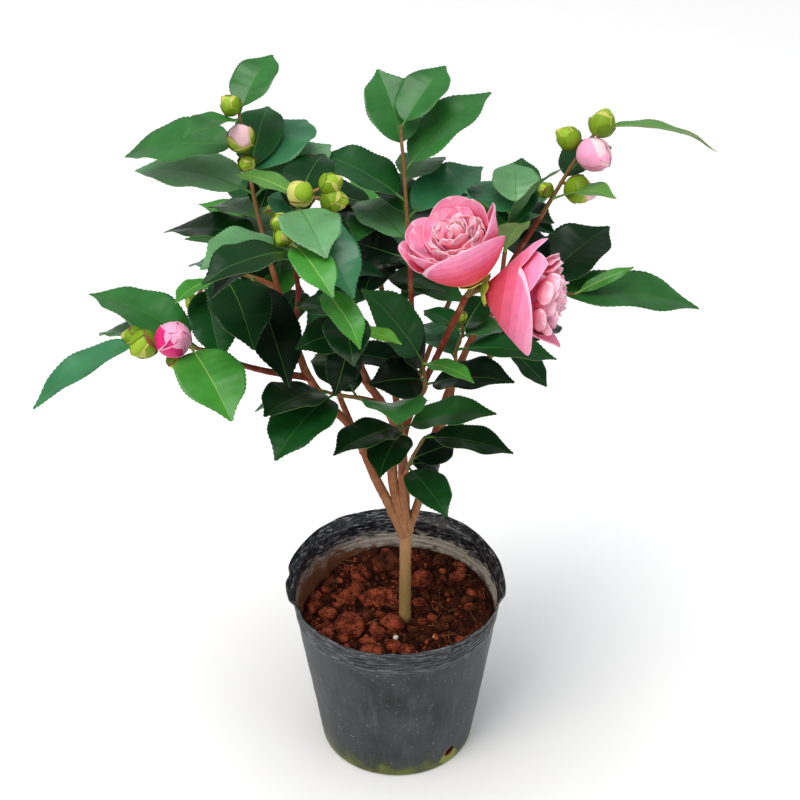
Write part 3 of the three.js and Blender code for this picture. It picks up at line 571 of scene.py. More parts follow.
lumps = []
for index, (x, y, length, width, height, turn, muddy) in enumerate(LUMPS):
    level = mix_level(np.array([x]), np.array([y]))[0] + 0.16 * height
    lump = lump_shape((x, y, level), (length, width, height), turn, *LUMP_GRID, index)
    lumps.append(with_slot(lump, muddy))
crumb_x, crumb_y, crumb_draw = scattered(CRUMBS, 500)
crumb_level = mix_level(crumb_x, crumb_y)
for index, (x, y, level, draw) in enumerate(zip(crumb_x, crumb_y, crumb_level, crumb_draw)):
    radius = between(CRUMB_RADII, draw**3)
    sizes = 2 * radius * np.array(CRUMB_STRETCH)
    red = 0.55 - 0.25 * ramp(x, -20, 30)
    slot = int(chance(index + 0.5) > red) * (1 + int(chance(index + 0.25) < 0.5))
    crumb = lump_shape((x, y, level + 0.3 * radius), sizes, 360 * draw, *CRUMB_GRID, index + 40)
    lumps.append(with_slot(crumb, slot))
lump_materials = [red_laterite, muddy_laterite, dark_mix, perlite]
for x, y, height, sizes, seed in PERLITE:
    grain = lump_shape((x, y, ground + height), sizes, 20, *PERLITE_GRID, seed)
    lumps.append(with_slot(grain, lump_materials.index(perlite)))
add_piece("laterite_lumps", joined(lumps), lump_materials)

fibres = []
fibre_x, fibre_y, fibre_draw = scattered(FIBRES, 3000)
fibre_level = mix_level(fibre_x, fibre_y)
for index, (x, y, level, draw) in enumerate(zip(fibre_x, fibre_y, fibre_level, fibre_draw)):
    share = np.linspace(-1, 1, 7)
    length = between(FIBRE_LENGTHS, draw)
    heading = 2 * np.pi * chance(index + 0.7)
    bend = 0.5 * length * (chance(index + 0.1) - 0.5)
    along = np.array([math.cos(heading), math.sin(heading), 0.25 * (chance(index + 0.2) - 0.3)])
    aside = np.array([-math.sin(heading), math.cos(heading), 0.5])
    middle = np.array([x, y, level + 1.6 + 1.5 * chance(index + 0.3)])
    path = middle + length * share[:, None] * along + bend * (1 - share**2)[:, None] * aside
    fibres.append(tube(path, FIBRE_RADIUS * (1.05 - 0.5 * np.abs(share)), 5))
add_piece("coir_fibres", joined(fibres), [coir])

# --- The trunk and the boughs -------------------------------------------------------------------------
# Young camellia wood with thin, close bark: olive-tan and nearly smooth at the foot of the trunk, tan above,
# pinkish brown on the boughs and red-brown on last year's shoots, with a low ring where each leaf once sat.
# The routes are those of the solids, so the bark lies on them, and each bough swells at its root.

# A limb: its radius at its root and at its end, and the points of its route.
TRUNK = (4.9, 4.8, ((TRUNK_X, 0, 121), (TRUNK_X, 0, 152), (TRUNK_X, 0, 186), (8, 0, 222)))
TRUNK_FLARE = 0.9
TRUNK_FLARE_LENGTH = 0.1
BOUGHS = {
    "left_bough": (4.2, 3, ((6, 0, 212), (-8, -3, 249), (-18, -8, 278), (-34, -20, 331), (-55, -30, 365),
                            (-69, -38, 398))),
    "left_low_bough": (2.6, 1.9, ((-66, -36, 390), (-94, -50, 404), (-117, -60, 418), (-139, -66, 433))),
    "left_high_bough": (2.8, 1.9, ((-68, -37, 394), (-83, -25, 442), (-97, -8, 490))),
    "left_inner_bough": (2, 1.7, ((-77, -31, 424), (-72, -34, 462), (-75, -38, 500))),
    "left_outer_bough": (2, 1.7, ((-88, -19, 457), (-96, -18, 462), (-105, -18, 466))),
    "centre_bough": (4.6, 3, ((8, 0, 214), (-3, -6, 272), (-2, -20, 336), (-12, -36, 368), (-23, -50, 396))),
    "centre_front_bough": (2.6, 2, ((-20, -46, 388), (-28, -56, 420), (-34, -62, 446))),
    "centre_low_bough": (2.3, 1.8, ((-9, -31, 358), (-18, -40, 371), (-28, -46, 378))),
    "bloom_bough": (3.2, 2.2, ((9, 0, 216), (4, -8, 275), (7, -16, 327), (17, -28, 369), (30, -42, 412),
                               (50, -60, 475))),
    "leader_bough": (2.5, 1.8, ((15, -26, 362), (13, -10, 400), (10, 12, 465))),
    "front_bough": (2, 1.7, ((16, -27, 366), (20, -33, 374), (22, -36, 381))),
    "low_front_bough": (2, 1.7, ((5, -12, 303), (6, -19, 315), (6, -26, 326))),
    "right_bough": (3.6, 2.6, ((9, 0, 216), (18, 6, 242), (38, 25, 325), (66, 38, 395), (80, 42, 425))),
    "right_high_bough": (2.4, 1.9, ((78, 41, 421), (90, 45, 445), (112, 48, 485))),
    "right_upper_bough": (2, 1.7, ((76, 40, 416), (81, 36, 436), (83, 38, 455))),
    "right_outer_bough": (2.3, 1.8, ((64, 37, 390), (80, 40, 404), (100, 40, 415))),
    "right_front_bough": (2.3, 1.8, ((27, 14, 279), (40, 4, 330), (46, -14, 385))),
    "right_low_bough": (2.2, 1.8, ((44, 28, 340), (53, 21, 354), (62, 15, 365))),
    "low_right_bough": (2, 1.7, ((4, -8, 276), (7, -16, 286), (9, -22, 296))),
    "back_bough": (3.4, 2.2, ((8, 1, 214), (6, 20, 270), (-4, 46, 345), (-12, 62, 410))),
    "back_left_bough": (2.6, 1.9, ((-26, -14, 304), (-48, 12, 350), (-72, 48, 410))),
    "back_right_bough": (2.4, 1.9, ((3, 26, 288), (22, 52, 345), (48, 84, 400))),
}
# Shoots of last year are still red-brown; the boughs that rise from the trunk have grown their first bark.
RED_SHOOTS = ("bloom_bough", "leader_bough", "right_high_bough", "left_low_bough", "left_inner_bough")
BARK_STEP = 2.2
BARK_SIDES = 22
BARK_RING_GAP = 17
SWELLING_LENGTH = 7


def route_curve(points):
    """A centripetal Catmull-Rom curve through the points, as 40 places between each two: a cubic whose
    slopes at the points come from the square roots of the distances, with the ends' neighbours mirrored."""
    points = np.array(points, float)
    padded = np.concatenate([[2 * points[0] - points[1]], points, [2 * points[-1] - points[-2]]])
    share = np.linspace(0, 1, 40, endpoint=False)[:, None]
    roots = np.sqrt(np.linalg.norm(np.diff(padded, axis=0), axis=1))
    spans = []
    for k, (before, first, second, after) in enumerate(zip(padded, padded[1:], padded[2:], padded[3:])):
        d0, d1, d2 = roots[k : k + 3]
        slope1 = d1 * ((first - before) / d0 - (second - before) / (d0 + d1) + (second - first) / d1)
        slope2 = d1 * ((second - first) / d1 - (after - first) / (d1 + d2) + (after - second) / d2)
        square = -3 * first + 3 * second - 2 * slope1 - slope2
        cube = 2 * first - 2 * second + slope1 + slope2
        spans.append(first + slope1 * share + square * share**2 + cube * share**3)
    return np.concatenate([*spans, points[-1:]])


def at_share(curve, share):
    """Points of a curve at shares of its length."""
    steps = np.linalg.norm(np.diff(curve, axis=0), axis=1)
    length = np.concatenate([[0], np.cumsum(steps)])
    place = np.asarray(share) * length[-1]
    return np.stack([np.interp(place, length, curve[:, i]) for i in range(3)], axis=-1)


def curve_length(curve):
    """The length of a curve: the sum of its steps."""
    return np.linalg.norm(np.diff(curve, axis=0), axis=1).sum()


def bark_tube(route, first, last, swelling, flare=0):
    """A limb with bark: its radius falls evenly from first to last, with an exponential swelling at its
    root, a low ring every 17 mm or so, long shallow furrows and fine noise."""
    curve = route_curve(route)
    length = curve_length(curve)
    share = np.linspace(0, 1, int(length / BARK_STEP) + 2)
    path = at_share(curve, share)
    radii = between((first, last), share) + flare * np.exp(-share / TRUNK_FLARE_LENGTH)
    radii += swelling * np.exp(-share * length / SWELLING_LENGTH)
    ring_place = share * length / BARK_RING_GAP + 0.3 * np.sin(share * 9)
    radii += 0.045 * first * np.maximum(0, np.cos(2 * np.pi * ring_place)) ** 8

    def grain(points):
        """Furrows 1.9 and 0.9 mm wide, drawn out up the limb, and broad waves of 11 mm."""
        furrow = noise(points * np.array([1, 1, 0.16]), 1.9, 21)
        furrow = furrow + 0.6 * noise(points * np.array([1, 1, 0.3]), 0.9, 22)
        return 0.022 * (first + 2) * furrow + 0.05 * first * noise(points, 11, 23)

    return tube(path, radii, BARK_SIDES, grain)


def bark_material(name, low, high, heights, streak):
    """Close young bark, matt with a faint gloss: two tones mixed between two heights, fine streaks along
    the limb, pale worn patches, and a darker, damp tone just above the ground."""
    material, shader, place = new_material(name, {"Roughness": 0.7, "Specular IOR Level": 0.25})
    split = add_node(material, "SeparateXYZ", {0: place}).outputs
    colour = over(material, band(material, split[2], heights[0] * MM, heights[1] * MM), low, high)
    fine = speckle(material, place, 1.1, 4, (1, 1, 0.12))
    colour = tinted(material, colour, fine, 0.42, 0.7, 0.6, streak)
    patch = speckle(material, place, 8, 3)
    colour = tinted(material, colour, patch, 0.5, 0.75, 0.3, "#bd9a6c")
    damp = band(material, split[2], (ground + 4) * MM, ground * MM, 0, 0.7)
    colour = over(material, damp, colour, "#3a2415")
    bump = add_node(material, "Bump", {"Height": fine, "Strength": 0.3, "Distance": 0.0004})
    feed(shader, {"Base Color": colour, "Normal": bump.outputs[0]})
    return material


trunk_bark = bark_material("olive_tan_bark", "#b09158", "#b5845a", (145, 205), "#957849")
bough_bark = bark_material("pinkish_brown_bark", "#a87850", "#874b2c", (210, 300), "#6a3a22")
shoot_bark = bark_material("red_brown_bark", "#a87850", "#7c2f20", (210, 330), "#5a2016")

sunk_route = ((TRUNK_X, 0, ground - 6), *TRUNK[2])
trunk_shape = bark_tube(sunk_route, *TRUNK[:2], 0, TRUNK_FLARE)
trunk = add_piece("trunk_bark", trunk_shape, [trunk_bark])
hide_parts("trunk")
limbs = []
for name, (first, last, route) in BOUGHS.items():
    limb = bark_tube(route, first, last, 0.3 * first)
    limbs.append(with_slot(limb, int(name in RED_SHOOTS)))
boughs = add_piece("bough_bark", joined(limbs), [bough_bark, shoot_bark])
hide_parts(*BOUGHS)

# --- The twigs ----------------------------------------------------------------------------------------
# Each bough ends in this year's and last year's twigs, thin and green-brown, on which leaves and buds sit.
# They carry the leaves alternately on short stalks; a twig swells a little every 14 mm.

# A leaf: place along the twig 0-1, heading, rise, length, breadth / length, roll about its rib, and tone.
# A bud: place along the twig, heading, rise, length of its stalk, radius, and look.
# grown: how many more leaves, heading in the middle of their fan, half-width of the fan.
SPRAYS = {
    "low_left_spray": dict(
        bough="left_low_bough", region="left", grown=(1, 90, 30),
        stem=((-160, -72, 443), (-182, -74, 449)),
        leaves=((0.1, 155, 15, 95, 0.5, 0, 3), (0.95, -155, -20, 95, 0.3, 0, 4),
                (0.25, -64, -11, 80, 0.6, 0, 5), (0.8, 143, -15, 62, 0.4, 0, 3)),
        buds=((0.6, -60, 38, 12, 12.5, "opening"), (0.9, -120, -5, 8, 10, "green"),
              (1, 170, 0, 8, 7, "green"), (0.55, -80, -70, 14, 5, "green"))),
    "top_left_spray": dict(
        bough="left_high_bough", region="left", grown=(2, 100, 50),
        stem=((-104, 5, 519), (-109, 14, 552), (-113, 17, 582)),
        leaves=((1, 68, 22, 62, 0.52, 0, 3), (0.95, -131, 10, 56, 0.42, 0, 3),
                (0.74, 165, -10, 98, 0.5, -12, 3), (0.38, 154, -2, 103, 0.48, -8, 9),
                (0.5, 61, 11, 80, 0.66, 0, 4), (0.35, 50, 9, 86, 0.5, 0, 9),
                (0, 150, -10, 95, 0.44, 0, 1), (0.18, 128, -14, 68, 0.44, 0, 3)),
        buds=((1, 170, 45, 9, 7, "green"), (0.75, -120, 60, 10, 10, "pink_tip"),
              (0.62, -100, 10, 5, 6, "green"))),
    "inner_left_spray": dict(
        bough="left_inner_bough", region="left", grown=(1, 70, 50),
        stem=((-74, -38, 520), (-66, -34, 542)),
        leaves=((0.95, 148, 5, 58, 0.34, 0, 6), (0.5, 94, 0, 50, 0.66, 0, 4),
                (0.8, -72, -2, 70, 0.6, 0, 9), (0.8, -58, -26, 84, 0.48, 0, 4),
                (0.1, -128, 15, 96, 0.46, -8, 9), (0, -125, 3, 92, 0.32, 20, 0)),
        buds=((1, 130, 15, 4, 9, "cream"), (1, -5, -5, 22, 8.5, "green"),
              (1, 5, 25, 22, 7.5, "green"), (0.5, -130, 25, 14, 7, "green"),
              (0.45, -110, 0, 16, 7.5, "green"))),
    "left_outer_spray": dict(
        bough="left_outer_bough", region="left", grown=(2, 85, 20),
        stem=((-121, -20, 472), (-142, -18, 460)),
        leaves=((0.6, -72, -6, 92, 0.48, 0, 1), (1, -76, -24, 70, 0.48, 0, 2),
                (0.05, -69, -27, 96, 0.42, -8, 0), (0.8, -118, 8, 50, 0.36, 0, 5),
                (0.3, 132, -15, 60, 0.5, 0, 4)),
        buds=((1, -138, -43, 16, 5.5, "green"),)),
    "centre_front_spray": dict(
        bough="centre_front_bough", region="middle", grown=(1, -160, 40),
        stem=((-44, -70, 472), (-58, -72, 500), (-72, -72, 525)),
        leaves=((1, -63, -7, 66, 0.42, 0, 5), (0.55, -60, -18, 60, 0.4, 0, 5),
                (0.2, 142, -4, 43, 0.6, 0, 2), (0.25, -78, -6, 58, 0.56, 0, 1),
                (0, -34, 8, 46, 0.34, 0, 7), (0, -130, 14, 56, 0.5, -40, 1),
                (0, -104, -34, 50, 0.5, -20, 0)),
        buds=()),
    "centre_low_spray": dict(
        bough="centre_low_bough", region="middle", grown=(1, 120, 40),
        stem=((-45, -52, 385), (-60, -52, 390)),
        leaves=((0.75, -128, 13, 72, 0.6, 0, 1), (0.6, -121, -8, 80, 0.58, 0, 2),
                (0.05, 123, 9, 60, 0.64, 0, 1), (1, 177, -25, 52, 0.46, 0, 4)),
        buds=()),
    "low_front_spray": dict(
        bough="low_front_bough", region="middle", grown=(1, 100, 60),
        stem=((3, -38, 350), (-5, -52, 376)),
        leaves=((0.3, -3, 14, 74, 0.5, 0, 3), (1, -85, 25, 80, 0.6, 0, 3),
                (0.35, -139, 5, 68, 0.54, 0, 1), (0.2, -107, -1, 60, 0.54, 0, 1)),
        buds=()),
    "low_right_spray": dict(
        bough="low_right_bough", region="middle", grown=(1, 30, 60),
        stem=((14, -26, 312), (22, -26, 328)),
        leaves=((1, -10, -6, 70, 0.5, 0, 1), (0.3, 34, -2, 42, 0.6, 40, 0),
                (0, -61, -7, 62, 0.52, 0, 2), (0.1, 40, -26, 36, 0.6, 40, 0)),
        buds=()),
    "top_spray": dict(
        bough="leader_bough", region="middle", grown=(2, 90, 70),
        stem=((8, 20, 496), (5, 28, 540), (3, 32, 566)),
        leaves=((0.8, 111, 41, 68, 0.62, 0, 3), (0.97, 55, 27, 65, 0.55, 0, 3),
                (0.65, 34, 30, 90, 0.48, 0, 3), (0.43, 148, 14, 82, 0.56, 0, 2),
                (0.3, 42, 13, 80, 0.52, 0, 4), (0.12, 126, 7, 68, 0.66, 0, 9),
                (0, 140, -6, 64, 0.4, -40, 0)),
        buds=()),
    "front_spray": dict(
        bough="front_bough", region="middle", grown=(1, 160, 30),
        stem=((21, -44, 398), (19, -50, 414)),
        leaves=((0.1, -20, 15, 72, 0.62, 0, 0), (0.9, -42, 8, 50, 0.36, 0, 5),
                (0.5, 160, 55, 68, 0.6, 0, 0), (1, 176, 54, 74, 0.5, -35, 2),
                (0.3, -140, 20, 56, 0.6, -40, 0)),
        buds=()),
    "upper_right_spray": dict(
        bough="right_upper_bough", region="right", grown=(2, 90, 70),
        stem=((86, 34, 480), (90, 32, 498)),
        leaves=((1, 90, 15, 50, 0.7, 0, 9), (0.02, -76, 50, 66, 0.34, 0, 6),
                (0.3, -38, 60, 88, 0.24, 0, 2), (0.8, 123, 5, 60, 0.55, 0, 4),
                (0.3, -20, 48, 36, 0.5, 0, 4)),
        buds=()),
    "top_right_spray": dict(
        bough="right_high_bough", region="right", grown=(1, 90, 50),
        stem=((134, 50, 528), (144, 50, 545), (152, 50, 556)),
        leaves=((1, 4, -12, 92, 0.3, -14, 6), (0.15, -44, 23, 65, 0.4, 0, 6)),
        buds=((0.75, 155, 20, 14, 8.5, "green"), (1, 60, 40, 3, 9.5, "green"),
              (0.75, -53, -10, 12, 12, "pale"), (0.35, -12, -20, 15, 10.5, "pink_tip"),
              (0.2, 170, 30, 8, 5.5, "green"))),
    "right_outer_spray": dict(
        bough="right_outer_bough", region="right", grown=(3, 105, 35),
        stem=((118, 36, 420), (140, 32, 422)),
        leaves=((0.1, 41, 20, 92, 0.62, 0, 1), (0.4, 5, -8, 125, 0.38, 8, 3),
                (0.95, 10, 24, 50, 0.2, 30, 5)),
        buds=()),
    "right_front_spray": dict(
        bough="right_front_bough", region="right", grown=(1, 100, 60),
        stem=((45, -20, 402), (50, -18, 418)),
        leaves=((0.6, -7, -2, 76, 0.4, 0, 2), (0.9, 36, -7, 50, 0.46, 0, 3),
                (1, 130, 0, 45, 0.46, 0, 2), (1, 66, 12, 44, 0.5, 20, 1)),
        buds=((1, -100, 60, 26, 4, "green"),)),
    "right_low_spray": dict(
        bough="right_low_bough", region="right", grown=(3, 60, 40),
        stem=((76, 20, 374), (92, 22, 384)),
        leaves=((0.8, -31, -33, 44, 0.6, 0, 1),),
        buds=()),
    "back_spray": dict(
        bough="back_bough", region="back", grown=(15, 90, 170),
        stem=((-10, 74, 440), (-14, 82, 476)),
        leaves=(),
        buds=()),
    "back_left_spray": dict(
        bough="back_left_bough", region="back", grown=(14, 110, 160),
        stem=((-86, 62, 432), (-96, 72, 460)),
        leaves=(),
        buds=((1, 90, 40, 8, 9, "green"), (1, 10, 40, 10, 8, "green"))),
    "back_right_spray": dict(
        bough="back_right_bough", region="back", grown=(9, 70, 160),
        stem=((60, 98, 425), (72, 106, 452)),
        leaves=(),
        buds=((1, 60, 50, 8, 10, "green"),)),
}
TWIG_RADII = (1.7, 1.1)
TWIG_STEP = 1.6
TWIG_RING_GAP = 14
TWIG_SIDES = 10


def direction(heading, rise):
    """The unit vector at a heading and a rise in degrees."""
    heading = math.radians(heading)
    rise = math.radians(rise)
    level = math.cos(rise)
    return np.array([math.cos(heading) * level, math.sin(heading) * level, math.sin(rise)])


def twig_tube(curve, first, last):
    """A twig along a curve: its radius falls evenly, with a low swelling every 14 mm."""
    length = curve_length(curve)
    share = np.linspace(0, 1, int(length / TWIG_STEP) + 3)
    ring = np.maximum(0, np.cos(2 * np.pi * share * length / TWIG_RING_GAP)) ** 10
    return tube(at_share(curve, share), between((first, last), share) * (1 + 0.22 * ring), TWIG_SIDES)


stems = {}
twigs = []
for name, spray in SPRAYS.items():
    stems[name] = route_curve((BOUGHS[spray["bough"]][2][-1], *spray["stem"]))
    twigs.append(twig_tube(stems[name], *TWIG_RADII))
twig_bark = bark_material("green_brown_twig_bark", "#7d6a3a", "#7d5a34", (300, 560), "#6a4426")

# --- The leaves ---------------------------------------------------------------------------------------
# Leathery, glossy camellia leaves with a fine saw edge, folded along a midrib and drawn out to a point.
# Old leaves are nearly black-green, young ones bright yellow-green; the underside is paler and matt.
# Leaves that catch the light get paler blue-green and grey-green tones, partly their own colour and partly
# painted sheen.
LEAF_ARCH = 0.07
LEAF_FOLD = 0.18
LEAF_STALK = 0.1
LEAF_TEETH = 24
LEAF_TOOTH_DEPTH = 0.9
LEAF_THICKNESS = 0.5
LEAF_BREADTH = 0.46
# Tones: top, underside, 0 for a dull midrib or 1 for a bright one, and how much the wax on top shines.
# Tone 4, a blue-green, and tone 9, a grey-green, are partly painted sheen: the sprays give them to leaves
# that catch the light.
LEAF_TONES = (
    ("#051a0a", "#2f4a2c", 0, 0.17), ("#0a2f10", "#3f5f38", 0, 0.2), ("#12461a", "#4c7044", 0, 0.26),
    ("#276127", "#5d8450", 0, 0.38), ("#2b6b42", "#668c68", 0, 0.5), ("#3a7f2b", "#6f9a52", 1, 0.38),
    ("#4d7c33", "#7d9a58", 1, 0.35), ("#53902a", "#86ab55", 1, 0.35), ("#73a83a", "#9cbd62", 1, 0.3),
    ("#578a58", "#83a47c", 0, 0.45),
)
MIDRIBS = ("#3f6a2a", "#86ab4e")
UNDER_SLOT = len(LEAF_TONES)
MIDRIB_SLOT = 2 * len(LEAF_TONES)
EDGE_SLOT = MIDRIB_SLOT + len(MIDRIBS)
LEAF_EDGE = "#6f8a48"
# The leaves that each spray grows besides: the tries for each, and their rises, lengths and tones.
GROWN_TRIES = 6
GROWN_RISE = (-20, 20)
GROWN_LENGTH = (65, 88)
GROWN_TONES = (1, 3, 2, 0, 4, 3, 2, 5)
BLADE_GAP = 1.7
LIMB_GAP = 2.8
BALL_STEP = 5
STALK_RADIUS = 1.2
# The room that leaves give each flower: its calyx, the heading and rise of its axis, and its size.
FLOWER_ROOM = (((48, -58, 486), 180, 68, 42), ((62, -56, 479), -8, -6, 45))
VEIN_GAP = 8
QUILT_HEIGHT = 0.42
LEAF_MOTTLE = 22.2


def blade_frame(root, heading, rise, length, breadth, roll=0, tone=3):
    """A leaf's root, its directions along the rib, across and out of its face, its sizes and its tone. Its
    face looks up, and roll turns it about the rib. breadth is a share of the length."""
    rib = direction(heading, rise)
    flat = np.cross(rib, UP)
    flat = flat / np.linalg.norm(flat)
    turn = math.radians(roll)
    side = flat * math.cos(turn) + np.cross(rib, flat) * math.sin(turn)
    face = np.cross(side, rib)
    return dict(root=root, rib=rib, side=side, face=face, length=length, breadth=breadth, tone=tone)


def test_triangles(blade, lift):
    """The plain blade as twelve triangles, for the clearance test: four stations of three points."""
    stations = np.array([0.1, 0.36, 0.7, 1])
    width = np.array([0, 0.96, 0.86, 0.04]) * blade["breadth"] * blade["length"]
    half = np.maximum(2.4, width)[:, None, None] / 2
    across = np.array([-1, 0, 1])[None, :, None]
    along = blade["length"] * stations[:, None, None]
    arch = 4 * LEAF_ARCH * along * (1 - stations[:, None, None])
    grid = blade["root"] + blade["rib"] * along + blade["side"] * half * across
    grid = grid + blade["face"] * (arch + LEAF_FOLD * half * np.abs(across) + lift)
    a, b, c, d = grid[:-1, :-1], grid[:-1, 1:], grid[1:, :-1], grid[1:, 1:]
    return np.concatenate([np.stack([a, b, d], axis=-2), np.stack([a, d, c], axis=-2)]).reshape(-1, 3, 3)


def edges_cut(first, second):
    """Whether an edge of the first triangles passes through one of the second: the point where an edge
    meets a triangle's plane, as shares of the edge and of the triangle's two sides."""
    start = first.reshape(-1, 1, 3)
    along = np.roll(first, -1, axis=1).reshape(-1, 1, 3) - start
    side1 = second[:, 1] - second[:, 0]
    side2 = second[:, 2] - second[:, 0]
    out = np.cross(along, side2)
    scale = (side1 * out).sum(-1)
    scale = np.where(np.abs(scale) < 1e-12, 1e-12, scale)
    away = start - second[:, 0]
    share1 = (away * out).sum(-1) / scale
    turned = np.cross(away, side1)
    share2 = (along * turned).sum(-1) / scale
    place = (side2 * turned).sum(-1) / scale
    inside = (share1 >= 0) & (share2 >= 0) & (share1 + share2 <= 1)
    return np.any(inside & (place >= 0) & (place < 1))


def gaps_between(points, triangles):
    """Distances from points to triangles: to the plane for a point over the triangle, else to an edge."""
    edges = np.roll(triangles, -1, axis=1) - triangles
    away = points[:, None, None] - triangles
    share = np.clip((away * edges).sum(-1) / (edges**2).sum(-1), 0, 1)
    edge_gap = np.linalg.norm(away - share[..., None] * edges, axis=-1).min(-1)
    normal = np.cross(edges[:, 0], edges[:, 1])
    normal = normal / np.linalg.norm(normal, axis=-1)[:, None]
    above = (np.cross(edges, away) * normal[:, None]).sum(-1).min(-1) >= 0
    return np.where(above, np.abs((away[:, :, 0] * normal).sum(-1)), edge_gap)


# Balls over the limbs, buds and flowers keep other leaves off them. placed holds the leaves so far.
balls = {"middle": [], "reach": [], "owner": []}
placed = []


def add_balls(middles, reaches, owner):
    """Adds balls that keep leaves off their owner."""
    balls["middle"].extend(middles)
    balls["reach"].extend(reaches)
    balls["owner"].extend([owner] * len(middles))


def string_balls(curve, radii, owner):
    """Adds balls in even steps along a limb, a gap wider than it is."""
    share = np.linspace(0, 1, math.ceil(curve_length(curve) / BALL_STEP) + 1)
    add_balls(at_share(curve, share), between(radii, share) + LIMB_GAP, owner)


def leaf_fits(blade, owners):
    """Whether a leaf keeps clear of the limbs that aren't its own, and of the leaves before it."""
    layers = [test_triangles(blade, lift) for lift in (0, -BLADE_GAP, BLADE_GAP)]
    middle = np.array(balls["middle"])
    reach = np.array(balls["reach"])
    near = ~np.isin(balls["owner"], owners)
    near &= np.linalg.norm(middle - blade["root"], axis=1) < blade["length"] + reach
    if np.any(gaps_between(middle[near], layers[0]).min(axis=1, initial=1e3) < reach[near]):
        return False
    low = np.min(layers, axis=(0, 1, 2))
    high = np.max(layers, axis=(0, 1, 2))
    others = []
    for other in placed:
        if np.all(other.min(axis=(0, 1)) < high) and np.all(other.max(axis=(0, 1)) > low):
            others.append(other)
    if not others:
        return True
    others = np.concatenate(others)
    return not any(edges_cut(layer, others) or edges_cut(others, layer) for layer in layers)


def put_leaf(blade, name):
    """Takes a leaf into its region and keeps later ones clear of its blade and stalk."""
    placed.append(test_triangles(blade, 0))
    lift = 4 * LEAF_ARCH * blade["length"] * LEAF_STALK * (1 - LEAF_STALK)
    blade_start = blade["root"] + blade["rib"] * blade["length"] * LEAF_STALK + blade["face"] * lift
    string_balls(np.stack([blade["root"], blade_start]), (STALK_RADIUS, STALK_RADIUS), name)
    leaves[SPRAYS[name]["region"]].append(blade)


def saw_rows():
    """Places along a blade at the notches and tips of its teeth, and 0 or 1 for each: 1 at a tip."""
    tooth = np.arange(LEAF_TEETH)
    place = np.stack([tooth, tooth + 0.75], axis=1).ravel()
    return np.append(place, LEAF_TEETH) / LEAF_TEETH, np.append(np.tile([0, 1], LEAF_TEETH), 0)


def blade_width(u):
    """Half widths as shares of the widest: a power of the place from the base times one of the place from
    the tip, drawn in over the last quarter."""
    return u**0.58 * (1 - u) ** 0.74 / 0.404 * (1 - 0.52 * ramp(u, 0.73, 0.98))


def leaf_shape(blade, seed):
    """One leaf: rings that go over its top from edge to edge and back underneath. The blade is raised by
    the rib's arch, the fold, waves at the edge, and a quilting in which veins lie 9 mm or so apart, and it
    twists a little. A stalk runs from the twig into the base."""
    length = blade["length"]
    u, tip = saw_rows()
    u = u[:, None]
    tip = tip[:, None]
    draws = chance(seed + 0.1 * np.arange(8))
    half = 0.5 * blade["breadth"] * length * blade_width(u)
    half = np.maximum(half + LEAF_TOOTH_DEPTH * tip * ramp(u, 0.03, 0.15), 0.9 * (1 - u) + 0.12)
    rib_share = np.minimum(0.3, (0.38 * (1 - u) + 0.1) / half)
    sides = np.array([-1, -0.9, -0.66, -0.36, 0, 0, 0.36, 0.66, 0.9, 1])
    across = sides + rib_share * np.array([0, 0, 0, 0, -1, 1, 0, 0, 0, 0])
    out = np.abs(across)
    t = LEAF_STALK + (1 - LEAF_STALK) * u
    veins = np.round(length * (1 - LEAF_STALK) / VEIN_GAP)
    quilt = np.abs(np.sin(np.pi * (veins * u - 0.8 * out))) - 0.6
    waves = np.sin(2 * np.pi * (2.2 * u + draws[0] + 0.4 * (across > 0)))
    height = 4 * LEAF_ARCH * length * t * (1 - t)
    height = height + LEAF_FOLD * half * out * (1.3 - 0.3 * out)
    height += 0.07 * half * waves * across**2 - 0.05 * length * draws[1] * ramp(u, 0.6, 1) ** 2
    quilt_share = (1 - out**6) * ramp(out, 0.02, 0.2) * ramp(u, 0, 0.1) * (1 - ramp(u, 0.85, 1))
    height += QUILT_HEIGHT * quilt * quilt_share
    twist = math.radians(26 * (draws[2] - 0.5)) * (u - 0.3)
    bend = 0.16 * length * (draws[3] - 0.5) * t * (1 - t)
    side = blade["side"] * np.cos(twist)[..., None] + blade["face"] * np.sin(twist)[..., None]
    face = np.cross(side, blade["rib"])
    middle = blade["root"] + blade["rib"] * (length * t)[..., None] + blade["side"] * bend[..., None]
    top = middle + side * (half * across)[..., None] + face * height[..., None]
    top = top + face * (0.3 * noise(top, 8, 31))[..., None]
    thickness = LEAF_THICKNESS * np.array([0.5, 0.8, 1, 1, 2, 2, 1, 1, 0.8, 0.5])
    thickness = thickness * np.minimum(1, 8 * (1.02 - u))
    bottom = top - face * thickness[..., None]
    rings = np.concatenate([top, bottom[:, ::-1]], axis=1)
    base = middle[0, 0] + face[0, 0] * height[0, 4]
    shape = closed_surface(rings, base, rings[-1, [4, 14]].mean(axis=0))
    rib_slot = MIDRIB_SLOT + LEAF_TONES[blade["tone"]][2]
    ring_slots = np.full(2 * len(sides), UNDER_SLOT + blade["tone"])
    ring_slots[:9] = blade["tone"]
    ring_slots[[4, 14]] = rib_slot
    ring_slots[[9, 19]] = EDGE_SLOT
    shape[2][:] = np.tile(ring_slots, len(u) + 1)
    share = np.linspace(0, 1.25, 7)[:, None]
    stalk = blade["root"] + share * (base - blade["root"])
    stalk = stalk - blade["face"] * (0.5 * ramp(share, 0.6, 1.2) + 0.6 * share * (1 - share))
    return joined([shape, with_slot(tube(stalk, 1.25 - 0.35 * share[:, 0], 8), rib_slot)])


def mottled(material, shader, patch, colour, values, roughness):
    """Feeds a plant's skin: its colour made darker and lighter between two values by the noise of its
    patches, and its roughness run the same way."""
    shift = band(material, patch, 0.3, 0.7, *values)
    tint = add_node(material, "HueSaturation", {"Value": shift, "Color": colour})
    gloss = band(material, patch, 0, 1, *roughness)
    feed(shader, {"Base Color": tint.outputs[0], "Roughness": gloss})


